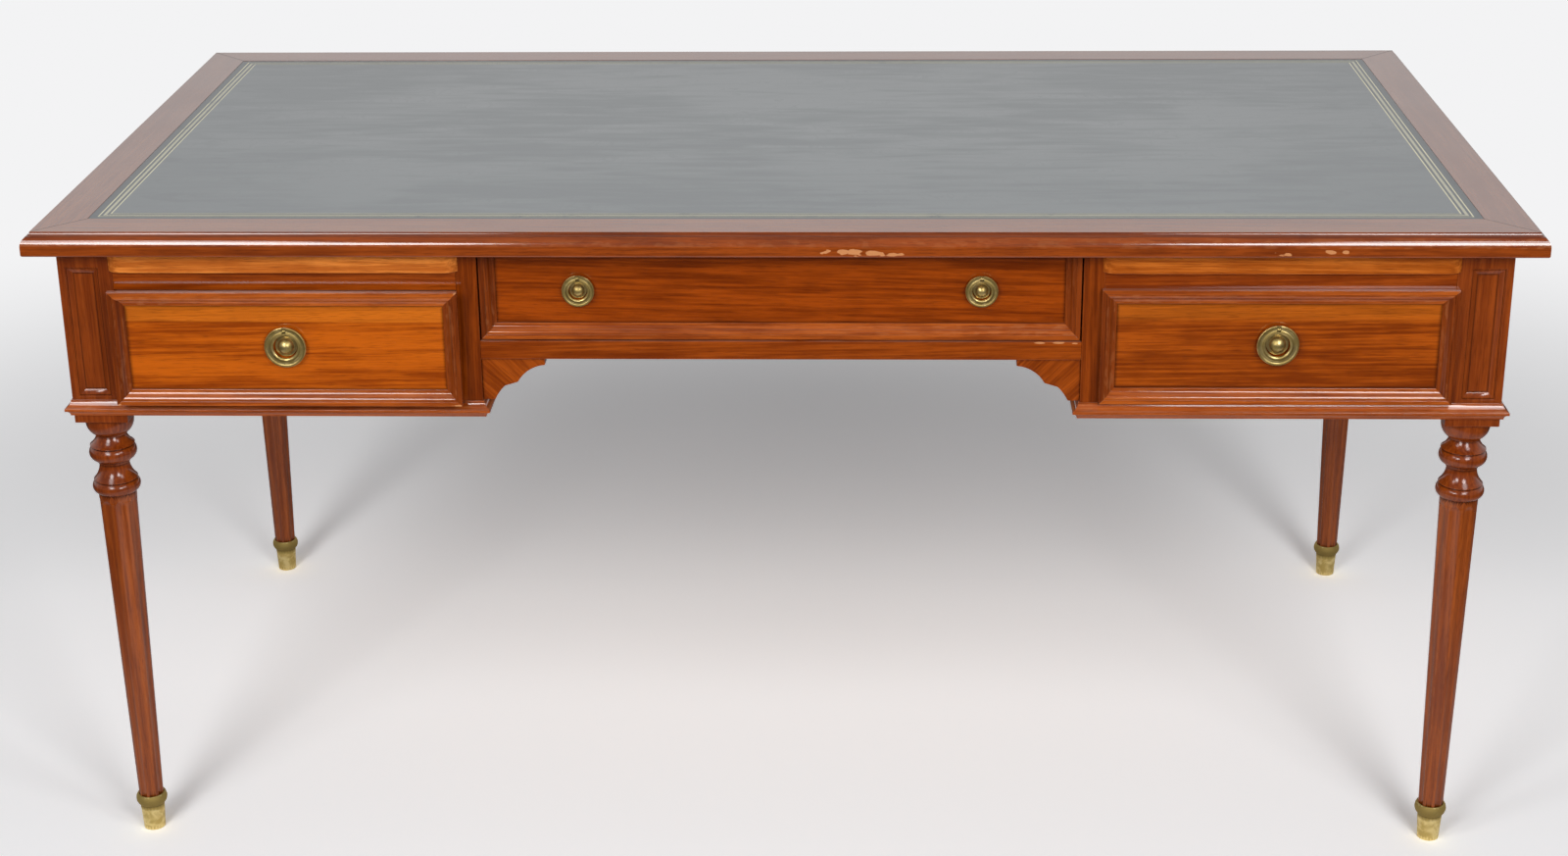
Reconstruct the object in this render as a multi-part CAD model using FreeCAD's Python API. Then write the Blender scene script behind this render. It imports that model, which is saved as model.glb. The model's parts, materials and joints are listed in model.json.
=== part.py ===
import FreeCAD, Part
import math
import os

# Writing desk with a leather top, three drawers, two writing slides and four fluted legs.
# Millimetres. X runs along the desk, Y from the sitter to the back, Z up.
# The origin is on the floor under the middle of the top.

# Top
top_length = 1640.0
top_depth = 870.0
desk_height = 760.0
top_thickness = 26.0
top_overhang = 29.0
border_width = 59.0
leather_thickness = 1.5
leather_sink = 0.3
nose_ease_height = 2.5
nose_ease_width = 2.0
nose_round_height = 10.0
nose_round_width = 4.5
nose_quirk = 1.0
nose_cove = 4.0
nose_lip = 0.5
block_size = 25.0
block_length = 50.0
block_spacing = 180.0

# Carcass
post_size = 60.0
frame_thickness = 20.0
side_panel_thickness = 18.0
kneehole_panel_thickness = 16.0
kneehole_width = 660.0
stile_width = 23.5
pedestal_height = 193.0
floor_thickness = 12.0
slide_opening = 25.0
slide_rail_height = 21.5
centre_opening = 105.0
kneehole_rail_height = 21.0
guide_rise = 15.0
bearer_ledge = 30.0
runner_width = 20.0
runner_height = 18.0

# Plinth moulding round each pedestal
plinth_height = 18.0
plinth_projection = 8.0
plinth_foot = 3.0
plinth_foot_height = 1.5
plinth_under = 4.5
plinth_beak = 3.0
plinth_top_width = 1.5
plinth_top_height = 1.5
plinth_hollow = 1.0

# Brackets in the corners of the kneehole
bracket_reach = 70.0
bracket_tip = 8.5
bracket_cove_width = 31.0
bracket_cove_height = 20.0
bracket_cove_depth = 4.7
bracket_step_width = 14.5
bracket_step_height = 4.5
bracket_heel_width = 13.0
bracket_heel_depth = 1.0
bracket_thickness = 16.0

# Legs, from the square block down to the foot
leg_block_height = 10.0
cup_rim = 2.0
cup_height = 18.0
cup_radius = 26.5
cup_foot_radius = 21.0
cup_bulge = 2.5
collar_radius = 18.3
collar_height = 3.0
knob_quirk = 1.5
upper_bell_height = 12.5
upper_neck_radius = 16.5
upper_bell_radius = 25.2
upper_bell_hollow = 1.4
upper_torus_height = 17.0
upper_torus_edge = 23.4
upper_torus_bulge = 4.8
upper_torus_foot = 20.0
lower_bell_height = 20.0
lower_neck_radius = 16.7
lower_bell_radius = 24.8
lower_bell_hollow = 2.2
lower_torus_height = 15.0
lower_torus_edge = 23.4
lower_torus_bulge = 4.3
lower_torus_foot = 21.6
shaft_top_radius = 21.3
shaft_foot_radius = 14.3
spigot_radius = 11.0
spigot_gap = 0.5
flute_count = 8
flute_radius_top = 11.5
flute_radius_foot = 8.0
flute_depth_top = 2.6
flute_depth_foot = 1.7
flute_margin = 6.0

# Sunk panel in each outer face of a leg's square post
sunk_width = 37.0
sunk_height = 150.0
sunk_offset = 8.0
sunk_rise = 4.0
sunk_step = 1.0
sunk_depth = 5.0
sunk_slope = 6.0

# Brass sabots
sabot_floor = 3.5
sabot_seat = 42.0
sabot_top = 46.0
sabot_foot_radius = 12.4
sabot_cup_radius = 14.2
sabot_cup_height = 32.0
sabot_ring_height = 1.2
sabot_ring_foot = 15.8
sabot_ring_bulge = 2.3
sabot_lip = 1.6
sabot_fit = 0.1

# Moulding strips on drawers and panels
moulding_thickness = 8.0
moulding_step = 1.0
moulding_tail = 1.5
moulding_tail_width = 1.0
ogee_bulge = 1.0
side_moulding_width = 17.0
side_moulding_flat = 5.0
centre_moulding_width = 17.0
centre_moulding_flat = 5.5
centre_moulding_trim = 7.0
side_panel_margin = 20.0

# Drawers
lip_overlap = 3.5
front_gap = 0.5
running_gap = 0.3
side_gap = 1.5
centre_gap = 1.0
centre_setback = 3.0
front_thickness = 20.0
lining_thickness = 10.0
bottom_thickness = 6.0
bottom_rise = 8.0
groove_depth = 4.0
side_drawer_depth = 600.0
side_drawer_wall = 110.0
centre_drawer_depth = 540.0
centre_drawer_wall = 85.0
left_drawer_ajar = 12.0

# Writing slides
slide_depth = 450.0
slide_thickness = 22.0
slide_top_gap = 3.0
slide_lip_thickness = 8.0
slide_end_radius = 20.0

# Ring pulls: sizes that both kinds share
plate_thickness = 1.5
stem_radius = 2.5
stem_fit = 0.1
stem_tip = 1.0
nut_width = 9.0
nut_height = 4.0
collar_thickness = 1.2
dome_step = 0.9
lug_half_width = 1.8
lug_radius = 1.9
slot_clearance = 0.4
pin_radius = 0.75
pin_fit = 0.05
pin_reach = 3.4
pin_end_gap = 0.3
ring_back = 1.5
ring_front = 2.0
ring_edge = 0.8
ring_band_dip = 0.8
ring_bead_bulge = 0.7
small_pull_spacing = 441.0
pull_rise = 2.5
small_pull_rise = 3.5

# Ring pulls: sizes of the large ones on the side drawers and the small ones on the centre drawer
large_pull = {
    "ring_radius": 23.0,
    "rim_radius": 21.4,
    "bead_radius": 16.3,
    "hole_radius": 13.0,
    "pin_height": 18.4,
    "pin_standoff": 5.6,
    "plate_radius": 12.0,
    "button_radius": 10.2,
    "dome_height": 7.0,
}
small_pull = {
    "ring_radius": 17.85,
    "rim_radius": 16.6,
    "bead_radius": 12.7,
    "hole_radius": 10.1,
    "pin_height": 14.3,
    "pin_standoff": 4.7,
    "plate_radius": 9.3,
    "button_radius": 7.95,
    "dome_height": 5.5,
}

# Levels and planes worked out from the sizes above
carcass_top = desk_height - top_thickness
carcass_x = top_length / 2 - top_overhang
carcass_y = top_depth / 2 - top_overhang
post_x = carcass_x - post_size
post_y = carcass_y - post_size
frame_y = carcass_y - frame_thickness
side_x = carcass_x - side_panel_thickness
kneehole_x = kneehole_width / 2
lining_x = kneehole_x + kneehole_panel_thickness
opening_x = kneehole_x + stile_width
pedestal_bottom = carcass_top - pedestal_height
floor_top = pedestal_bottom + plinth_height
slide_rail_top = carcass_top - slide_opening
drawer_opening_top = slide_rail_top - slide_rail_height
kneehole_rail_top = carcass_top - centre_opening
kneehole_rail_bottom = kneehole_rail_top - kneehole_rail_height
leg_x = carcass_x - post_size / 2
leg_y = carcass_y - post_size / 2

# Space that cutting tools reach past the wood they cut
cut_margin = 1.0

Vector = FreeCAD.Vector
origin = Vector(0, 0, 0)
along_x = Vector(1, 0, 0)
along_y = Vector(0, 1, 0)
along_z = Vector(0, 0, 1)


def save(node, *solids):
    """Write one node, a single solid or a group of separate ones."""
    shape = solids[0] if len(solids) == 1 else Part.makeCompound(list(solids))
    shape.exportStep(os.path.join("parts", node + ".step"))


def box(x0, x1, y0, y1, z0, z1):
    """A block between its low and high values along each axis."""
    return Part.makeBox(x1 - x0, y1 - y0, z1 - z0, Vector(x0, y0, z0))


def other_side(shape):
    """The shape's mirror image at the other end of the desk."""
    return shape.mirror(origin, along_x)


def other_face(shape):
    """The shape's mirror image at the back of the desk."""
    return shape.mirror(origin, along_y)


def moved(shape, x, y, z):
    """A copy of the shape, shifted."""
    return shape.translated(Vector(x, y, z))


def stood_up(shape):
    """A copy of a shape drawn flat on the floor, tipped up to face the sitter."""
    return shape.rotated(origin, along_x, 90)


def outline_face(corners, to_space):
    """A flat face inside a closed outline.

    A corner is (u, v), or (u, v, bulge) where the edge that arrives is an arc
    that bulges that far to the left of its travel.
    """
    edges = []
    for near, far in zip(corners, corners[1:] + corners[:1]):
        start = to_space(near[0], near[1])
        end = to_space(far[0], far[1])
        if len(far) == 2:
            edges.append(Part.LineSegment(start, end).toShape())
            continue
        run_u = far[0] - near[0]
        run_v = far[1] - near[1]
        share = far[2] / math.hypot(run_u, run_v)
        middle_u = (near[0] + far[0]) / 2 - run_v * share
        middle_v = (near[1] + far[1]) / 2 + run_u * share
        edges.append(Part.Arc(start, to_space(middle_u, middle_v), end).toShape())
    return Part.Face(Part.Wire(edges))


def tangent_bulge(run, rise):
    """Bulge of an arc that crosses run while it rises, and starts along the rise."""
    radius = (run ** 2 + rise ** 2) / (2 * run)
    return radius - math.sqrt(radius ** 2 - (run ** 2 + rise ** 2) / 4)


def turned(corners):
    """A solid of revolution about Z from corners (radius, height)."""
    face = outline_face(corners, lambda radius, height: Vector(radius, 0, height))
    return face.revolve(origin, along_z, 360)


def mitred_ring(length, depth, profile):
    """The front, right, back and left strips of a mitred ring round a rectangle on the floor.

    The profile's corners are (distance outside the rectangle, height). Inside is negative.
    """
    distances = [corner[0] for corner in profile]
    heights = [corner[1] for corner in profile]
    inner = min(distances) - cut_margin
    outer = max(distances) + cut_margin
    strips = []
    for turn, (run, reach) in enumerate(((length, depth), (depth, length)) * 2):
        end = run / 2 + outer
        edge = -reach / 2
        face = outline_face(profile, lambda distance, height: Vector(-end, edge - distance, height))
        bar = face.extrude(Vector(2 * end, 0, 0))
        inner_end = run / 2 + inner
        mitre = [(-end, edge - outer), (end, edge - outer), (inner_end, edge - inner), (-inner_end, edge - inner)]
        low = min(heights) - cut_margin
        tool = outline_face(mitre, lambda x, y: Vector(x, y, low))
        tool = tool.extrude(Vector(0, 0, max(heights) - low + cut_margin))
        strips.append(bar.common(tool).Solids[0].rotated(origin, along_z, 90 * turn))
    return strips


def ogee_profile(width, flat):
    """Section of an applied moulding: a flat outer band, a step and an ogee down to the panel."""
    start = (-flat, moulding_thickness - moulding_step)
    end = (moulding_tail_width - width, moulding_tail)
    middle = ((start[0] + end[0]) / 2, (start[1] + end[1]) / 2)
    return [
        (0, 0),
        (0, moulding_thickness),
        (-flat, moulding_thickness),
        start,
        (middle[0], middle[1], -ogee_bulge),
        (end[0], end[1], ogee_bulge),
        (-width, moulding_tail),
        (-width, 0),
    ]


def moulding_frame(x0, x1, z0, z1, face_y, profile):
    """Four mitred strips of moulding, planted on a face that looks at the sitter."""
    strips = mitred_ring(x1 - x0, z1 - z0, profile)
    return [moved(stood_up(strip), (x0 + x1) / 2, face_y, (z0 + z1) / 2) for strip in strips]


def make_top():
    """Border boards with their moulded nose, core board, leather and glue blocks."""
    cove_top = desk_height - nose_lip
    cove_foot = cove_top - nose_cove
    round_top = cove_foot - nose_quirk
    quirk_inset = nose_round_width + nose_quirk
    profile = [
        (-border_width, carcass_top),
        (-nose_ease_width, carcass_top),
        (0, carcass_top + nose_ease_height, -tangent_bulge(nose_ease_width, nose_ease_height)),
        (0, round_top - nose_round_height),
        (-nose_round_width, round_top, -tangent_bulge(nose_round_width, nose_round_height)),
        (-quirk_inset, cove_foot),
        (-quirk_inset - nose_cove, cove_top, tangent_bulge(nose_cove, nose_cove)),
        (-quirk_inset - nose_cove, desk_height),
        (-border_width, desk_height),
    ]
    names = ("front", "right", "back", "left")
    for name, board in zip(names, mitred_ring(top_length, top_depth, profile)):
        save("top_border_" + name, board)
    field_x = top_length / 2 - border_width
    field_y = top_depth / 2 - border_width
    leather_top = desk_height - leather_sink
    core_top = leather_top - leather_thickness
    save("top_core", box(-field_x, field_x, -field_y, field_y, carcass_top, core_top))
    save("top_leather", box(-field_x, field_x, -field_y, field_y, core_top, leather_top))
    block_z = carcass_top - block_size
    half = block_length / 2
    pedestal_mid = (opening_x + post_x) / 2
    blocks = []
    for place in (pedestal_mid - block_spacing / 2, pedestal_mid + block_spacing / 2):
        block = box(place - half, place + half, frame_y - block_size, frame_y, block_z, carcass_top)
        blocks += [block, other_side(block)]
    panel_y = carcass_y - centre_setback - moulding_thickness - front_thickness
    block = box(block_spacing - half, block_spacing + half, panel_y - block_size, panel_y, block_z, carcass_top)
    blocks += [block, other_side(block)]
    save("top_blocks", *blocks)


def knob(height, torus_foot, torus_height, torus_edge, torus_bulge, bell_radius, bell_height, neck, hollow):
    """Outline of a turned knob from its foot up: a torus, an incised line and a bell up to the neck."""
    bell_foot = height + torus_height + knob_quirk
    return [
        (torus_foot, height),
        (torus_edge, height + torus_height, -torus_bulge),
        (bell_radius, bell_foot),
        (neck, bell_foot + bell_height, hollow),
    ]


def collar(height):
    """Outline of the small square-edged ring above a knob's neck."""
    return [(collar_radius, height), (collar_radius, height + collar_height)]


def sunk_panel():
    """Tool that cuts the sunk panel, drawn on the floor with the wood below it."""
    half_x = sunk_width / 2
    half_y = sunk_height / 2
    step = box(-half_x, half_x, -half_y, half_y, -sunk_step, cut_margin)
    rims = []
    for inset, depth in ((sunk_step, sunk_step), (sunk_step + sunk_slope, sunk_depth)):
        x = half_x - inset
        y = half_y - inset
        corners = [Vector(a * x, b * y, -depth) for a, b in ((-1, -1), (1, -1), (1, 1), (-1, 1), (-1, -1))]
        rims.append(Part.makePolygon(corners))
    return step.fuse(Part.makeLoft(rims, True, True))


def flute_tool(shaft_top):
    """Tool that cuts one flute down the shaft, with a rounded top."""
    crown = math.sqrt(2 * flute_radius_top * flute_depth_top - flute_depth_top ** 2)
    foot = Vector(shaft_foot_radius + flute_radius_foot - flute_depth_foot, 0, sabot_seat)
    head_z = shaft_top - flute_margin - crown
    head = Vector(shaft_top_radius + flute_radius_top - flute_depth_top, 0, head_z)
    axis = head - foot
    cone = Part.makeCone(flute_radius_foot, flute_radius_top, axis.Length, foot, axis)
    return cone.fuse(Part.makeSphere(flute_radius_top, head))


def make_legs():
    """Four legs, each a square post that is turned and fluted below the pedestal, and their sabots."""
    block_bottom = pedestal_bottom - leg_block_height
    cup_top = block_bottom - cup_rim
    cup_foot = cup_top - cup_height
    upper_foot = cup_foot - collar_height - upper_bell_height - knob_quirk - upper_torus_height
    shaft_top = upper_foot - collar_height - lower_bell_height - knob_quirk - lower_torus_height
    outline = [
        (0, sabot_floor + spigot_gap),
        (spigot_radius, sabot_floor + spigot_gap),
        (spigot_radius, sabot_seat),
        (shaft_foot_radius, sabot_seat),
        (shaft_top_radius, shaft_top),
    ]
    outline += knob(shaft_top, lower_torus_foot, lower_torus_height, lower_torus_edge, lower_torus_bulge,
                    lower_bell_radius, lower_bell_height, lower_neck_radius, lower_bell_hollow)
    outline += collar(upper_foot - collar_height)
    outline += knob(upper_foot, upper_torus_foot, upper_torus_height, upper_torus_edge, upper_torus_bulge,
                    upper_bell_radius, upper_bell_height, upper_neck_radius, upper_bell_hollow)
    outline += collar(cup_foot - collar_height)
    outline += [
        (cup_foot_radius, cup_foot),
        (cup_radius, cup_top, -cup_bulge),
        (cup_radius, block_bottom),
        (0, block_bottom),
    ]
    leg = turned(outline)
    flute = flute_tool(shaft_top)
    for number in range(flute_count):
        leg = leg.cut(flute.rotated(origin, along_z, 360 / flute_count * (number + 0.5)))
    half = post_size / 2
    leg = leg.fuse(box(-half, half, -half, half, block_bottom, carcass_top)).removeSplitter()
    panel_x = half - sunk_offset - sunk_width / 2
    panel_z = floor_top + sunk_rise + sunk_height / 2
    front_tool = moved(stood_up(sunk_panel()), panel_x, -half, panel_z)
    side_tool = stood_up(sunk_panel()).rotated(origin, along_z, 90)
    side_tool = moved(side_tool, half, -panel_x, panel_z)
    leg = leg.cut(front_tool).cut(side_tool)
    front_right = moved(leg.Solids[0], leg_x, -leg_y, 0)
    save("leg_front_right", front_right)
    save("leg_front_left", other_side(front_right))
    save("leg_back_right", other_face(front_right))
    save("leg_back_left", other_face(other_side(front_right)))

    ring_foot_height = sabot_cup_height + sabot_ring_height
    mouth = shaft_foot_radius + (shaft_top_radius - shaft_foot_radius) * (
        (sabot_top - sabot_seat) / (shaft_top - sabot_seat)) + sabot_fit
    sabot = turned([
        (0, 0),
        (sabot_foot_radius, 0),
        (sabot_cup_radius, sabot_cup_height),
        (sabot_ring_foot, ring_foot_height),
        (mouth + sabot_lip, sabot_top, -sabot_ring_bulge),
        (mouth, sabot_top),
        (mouth, sabot_seat),
        (spigot_radius + sabot_fit, sabot_seat),
        (spigot_radius + sabot_fit, sabot_floor),
        (0, sabot_floor),
    ])
    places = [(a * leg_x, b * leg_y) for a in (-1, 1) for b in (-1, 1)]
    save("sabots", *[moved(sabot, x, y, 0) for x, y in places])


def make_carcass():
    """Panels, stiles, rails, floors, guides and bearers that carry the drawers and slides."""
    side = box(side_x, carcass_x, -post_y, post_y, pedestal_bottom, carcass_top)
    save("side_panel_right", side)
    save("side_panel_left", other_side(side))
    cheek = box(kneehole_x, lining_x, -frame_y, frame_y, pedestal_bottom, carcass_top)
    save("kneehole_panel_right", cheek)
    save("kneehole_panel_left", other_side(cheek))
    stile = box(kneehole_x, opening_x, -carcass_y, -frame_y, pedestal_bottom, carcass_top)
    save("front_stile_right", stile)
    save("front_stile_left", other_side(stile))
    back_stile = other_face(stile)
    save("back_stiles", back_stile, other_side(back_stile))
    upper = box(opening_x, post_x, -carcass_y, -frame_y, drawer_opening_top, slide_rail_top)
    save("front_rails_upper", upper, other_side(upper))
    lower = box(opening_x, post_x, -carcass_y, -frame_y, pedestal_bottom, floor_top)
    save("front_rails_lower", lower, other_side(lower))
    rail = box(-kneehole_x, kneehole_x, -carcass_y, -frame_y, kneehole_rail_bottom, kneehole_rail_top)
    save("kneehole_rail_front", rail)
    save("kneehole_rail_back", other_face(rail))
    back = box(opening_x, post_x, frame_y, carcass_y, pedestal_bottom, carcass_top)
    save("back_panel_right", back)
    save("back_panel_left", other_side(back))
    centre_face = carcass_y - centre_setback - moulding_thickness
    save("back_panel_centre", box(-kneehole_x, kneehole_x, centre_face - front_thickness, centre_face,
                                  kneehole_rail_top, carcass_top))
    floor = box(lining_x, post_x, -frame_y, frame_y, floor_top - floor_thickness, floor_top)
    save("pedestal_floors", floor, other_side(floor))
    guide_top = floor_top + guide_rise
    guides = [
        box(post_x, side_x, -post_y, post_y, pedestal_bottom, guide_top),
        box(lining_x, opening_x, -frame_y, frame_y, floor_top, guide_top),
        box(post_x, side_x, -post_y, post_y, slide_rail_top, carcass_top),
        box(lining_x, opening_x, -frame_y, frame_y, slide_rail_top, carcass_top),
    ]
    save("drawer_guides", *guides, *[other_side(guide) for guide in guides])
    bearers = [
        box(post_x - bearer_ledge, side_x, -post_y, post_y, drawer_opening_top, slide_rail_top),
        box(lining_x, opening_x + bearer_ledge, -frame_y, frame_y, drawer_opening_top, slide_rail_top),
    ]
    save("slide_bearers", *bearers, *[other_side(bearer) for bearer in bearers])
    runner = box(kneehole_x - runner_width, kneehole_x, -frame_y, frame_y,
                 kneehole_rail_top - runner_height, kneehole_rail_top)
    save("centre_runners", runner, other_side(runner))


def make_plinths():
    """Mitred moulding round the foot of each pedestal."""
    under_top = plinth_foot_height + plinth_under
    profile = [
        (0, 0),
        (plinth_foot, 0),
        (plinth_foot, plinth_foot_height),
        (plinth_projection, under_top, plinth_hollow),
        (plinth_projection, under_top + plinth_beak),
        (plinth_top_width, plinth_height - plinth_top_height, plinth_hollow),
        (plinth_top_width, plinth_height),
        (0, plinth_height),
    ]
    ring = mitred_ring(carcass_x - kneehole_x, 2 * carcass_y, profile)
    right = [moved(strip, (carcass_x + kneehole_x) / 2, 0, pedestal_bottom) for strip in ring]
    save("plinth_moulding_right", *right)
    save("plinth_moulding_left", *[other_side(strip) for strip in right])


def make_brackets():
    """Shaped brackets in the four upper corners of the kneehole."""
    tip_x = kneehole_x - bracket_reach
    tip_z = kneehole_rail_bottom - bracket_tip
    cusp_x = tip_x + bracket_cove_width
    cusp_z = tip_z - bracket_cove_height
    step_x = cusp_x + bracket_step_width
    outline = [
        (kneehole_x, kneehole_rail_bottom),
        (tip_x, kneehole_rail_bottom),
        (tip_x, tip_z),
        (cusp_x, cusp_z, bracket_cove_depth),
        (step_x, cusp_z - bracket_step_height),
        (kneehole_x - bracket_heel_width, floor_top, bracket_heel_depth),
        (kneehole_x, floor_top),
    ]
    face = outline_face(outline, lambda x, z: Vector(x, -frame_y, z))
    bracket = face.extrude(Vector(0, -bracket_thickness, 0))
    front = [bracket, other_side(bracket)]
    save("brackets", *front, *[other_face(solid) for solid in front])


def centre_moulding(low, high, face_y):
    """Moulding frame of the centre drawer, its upper strip planed down to pass under the top."""
    half = kneehole_x - side_gap
    frame = moulding_frame(-half, half, low, high + centre_moulding_trim, face_y,
                           ogee_profile(centre_moulding_width, centre_moulding_flat))
    room = box(-half, half, face_y - moulding_thickness, face_y, low, high)
    return [strip.common(room).Solids[0] for strip in frame]


def make_panel_mouldings():
    """Moulding frames planted on the sides and the back."""
    side_profile = ogee_profile(side_moulding_width, side_moulding_flat)
    half = post_y - side_panel_margin
    low = floor_top + sunk_rise
    side = [strip.rotated(origin, along_z, 90)
            for strip in moulding_frame(-half, half, low, low + sunk_height, -carcass_x, side_profile)]
    back = moulding_frame(opening_x - lip_overlap, post_x + lip_overlap, floor_top + front_gap,
                          drawer_opening_top + lip_overlap, -carcass_y, side_profile)
    back = [other_face(strip) for strip in back]
    centre = centre_moulding(kneehole_rail_top + centre_gap, carcass_top - centre_gap,
                             centre_setback + moulding_thickness - carcass_y)
    centre = [other_face(strip) for strip in centre]
    both = side + back
    save("panel_mouldings", *both, *[other_side(strip) for strip in both], *centre)


def hex_nut():
    """A nut drawn on the floor, its hole on the origin."""
    corner_radius = nut_width / math.sqrt(3)
    corners = [Vector(corner_radius * math.cos(math.radians(60 * side)),
                      corner_radius * math.sin(math.radians(60 * side)), 0) for side in range(7)]
    blank = Part.Face(Part.makePolygon(corners)).extrude(Vector(0, 0, nut_height))
    return blank.cut(Part.makeCylinder(stem_radius + pin_fit, nut_height))


def pull_pieces(size):
    """Ring, plate, pin, button and nut of a pull, drawn on the floor with the drawer front below them."""
    standoff = size["pin_standoff"]
    pin_y = size["pin_height"]
    slot_half = lug_half_width + slot_clearance
    pin_half = slot_half + pin_reach

    back = standoff - ring_back
    front = standoff + ring_front
    ring = turned([
        (size["hole_radius"] + ring_edge, back),
        (size["ring_radius"] - ring_edge, back),
        (size["ring_radius"], back + ring_edge),
        (size["ring_radius"], front - ring_edge),
        (size["rim_radius"], front, -ring_bead_bulge / 2),
        (size["bead_radius"], front, ring_band_dip),
        (size["hole_radius"], front - ring_edge, -ring_bead_bulge),
        (size["hole_radius"], back + ring_edge),
    ])
    slot_foot = pin_y - lug_radius - slot_clearance
    slot_top = size["ring_radius"] + cut_margin
    slot = box(-slot_half, slot_half, slot_foot, slot_top, 0, front + cut_margin)
    bore_half = pin_half + pin_end_gap
    bore = Part.makeCylinder(pin_radius + pin_fit, 2 * bore_half, Vector(-bore_half, pin_y, standoff), along_x)
    ring = ring.cut(slot).cut(bore).Solids[0]

    pin = Part.makeCylinder(pin_radius, 2 * pin_half, Vector(-pin_half, pin_y, standoff), along_x)
    lug_length = 2 * lug_half_width
    plate = Part.makeCylinder(size["plate_radius"], plate_thickness)
    tab_top = pin_y + lug_radius
    plate = plate.fuse(box(-lug_half_width, lug_half_width, 0, tab_top, 0, plate_thickness))
    plate = plate.fuse(box(-lug_half_width, lug_half_width, pin_y - lug_radius, tab_top, 0, standoff))
    plate = plate.fuse(Part.makeCylinder(lug_radius, lug_length, Vector(-lug_half_width, pin_y, standoff), along_x))
    head_top = size["ring_radius"] - slot_clearance
    plate = plate.fuse(box(-lug_half_width, lug_half_width, pin_y, head_top, back, standoff + ring_back))
    plate = plate.cut(Part.makeCylinder(stem_radius + stem_fit, plate_thickness))
    plate = plate.cut(Part.makeCylinder(pin_radius, lug_length, Vector(-lug_half_width, pin_y, standoff), along_x))
    plate = plate.removeSplitter().Solids[0]

    dome_foot = plate_thickness + collar_thickness
    dome_radius = size["button_radius"] - dome_step
    dome = size["dome_height"]
    stem_end = -front_thickness - nut_height - stem_tip
    button = turned([
        (0, stem_end),
        (stem_radius, stem_end),
        (stem_radius, plate_thickness),
        (size["button_radius"], plate_thickness),
        (size["button_radius"], dome_foot),
        (dome_radius, dome_foot),
        (0, dome_foot + dome, -tangent_bulge(dome, dome_radius)),
    ])
    nut = moved(hex_nut(), 0, 0, -front_thickness - nut_height)
    return {"ring": ring, "plate": plate, "pin": pin, "button": button, "nut": nut}


def pull_at(size, x, face_y, z):
    """The pieces of a pull on the drawer front at this place."""
    return {name: moved(stood_up(piece), x, face_y, z) for name, piece in pull_pieces(size).items()}


def make_drawer(node, x0, x1, z0, z1, face_y, depth, wall, frame, pulls):
    """One drawer: front, moulding, box and bottom, with the fixed pieces of its pulls.

    The front board spans x0 to x1 and z0 to z1 with its face at face_y.
    """
    front_back = face_y + front_thickness
    end = front_back + depth
    inner0 = x0 + lining_thickness
    inner1 = x1 - lining_thickness
    bottom_z = z0 + bottom_rise
    bottom = box(inner0 - groove_depth, inner1 + groove_depth, front_back - groove_depth, end,
                 bottom_z, bottom_z + bottom_thickness)
    front = box(x0, x1, face_y, front_back, z0, z1).cut(bottom)
    for pull in pulls:
        hole_centre = pull["button"].BoundBox.Center
        hole = Part.makeCylinder(stem_radius + stem_fit, front_thickness,
                                 Vector(hole_centre.x, face_y, hole_centre.z), along_y)
        front = front.cut(hole)
    left_wall = box(x0, inner0, front_back, end, z0, z0 + wall).cut(bottom)
    right_wall = box(inner1, x1, front_back, end, z0, z0 + wall).cut(bottom)
    back_wall = box(inner0, inner1, end - lining_thickness, end, bottom_z + bottom_thickness, z0 + wall)
    save(node + "_front", front)
    save(node + "_moulding", *frame)
    save(node + "_box", left_wall, right_wall, back_wall)
    save(node + "_bottom", bottom)
    plates = [pull[name] for pull in pulls for name in ("plate", "pin")]
    buttons = [pull[name] for pull in pulls for name in ("button", "nut")]
    save(node + "_pull_plate", *plates)
    save(node + "_pull_button", *buttons)


def make_side_drawer(node, side, ajar):
    """A side drawer, on the right for side 1 and on the left for side -1, pulled out by ajar."""
    low, high = sorted((side * opening_x, side * post_x))
    face_y = -carcass_y - front_gap - ajar
    moulding_low = floor_top + front_gap
    moulding_high = drawer_opening_top + lip_overlap
    frame = moulding_frame(low - lip_overlap, high + lip_overlap, moulding_low, moulding_high, face_y,
                           ogee_profile(side_moulding_width, side_moulding_flat))
    pull = pull_at(large_pull, (low + high) / 2, face_y, (moulding_low + moulding_high) / 2 + pull_rise)
    make_drawer(node, low + side_gap, high - side_gap, floor_top + running_gap, drawer_opening_top - side_gap,
                face_y, side_drawer_depth, side_drawer_wall, frame, [pull])
    save(node + "_ring", pull["ring"])


def make_centre_drawer():
    """The drawer over the kneehole, set into its opening, with two small pulls."""
    half = kneehole_x - side_gap
    face_y = centre_setback + moulding_thickness - carcass_y
    low = kneehole_rail_top + centre_gap
    high = carcass_top - centre_gap
    frame = centre_moulding(low, high, face_y)
    places = (-small_pull_spacing / 2, small_pull_spacing / 2)
    pulls = [pull_at(small_pull, x, face_y, (low + high) / 2 + small_pull_rise) for x in places]
    make_drawer("drawer_centre", -half, half, kneehole_rail_top + running_gap, high, face_y,
                centre_drawer_depth, centre_drawer_wall, frame, pulls)
    save("drawer_centre_ring_left", pulls[0]["ring"])
    save("drawer_centre_ring_right", pulls[1]["ring"])


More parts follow.
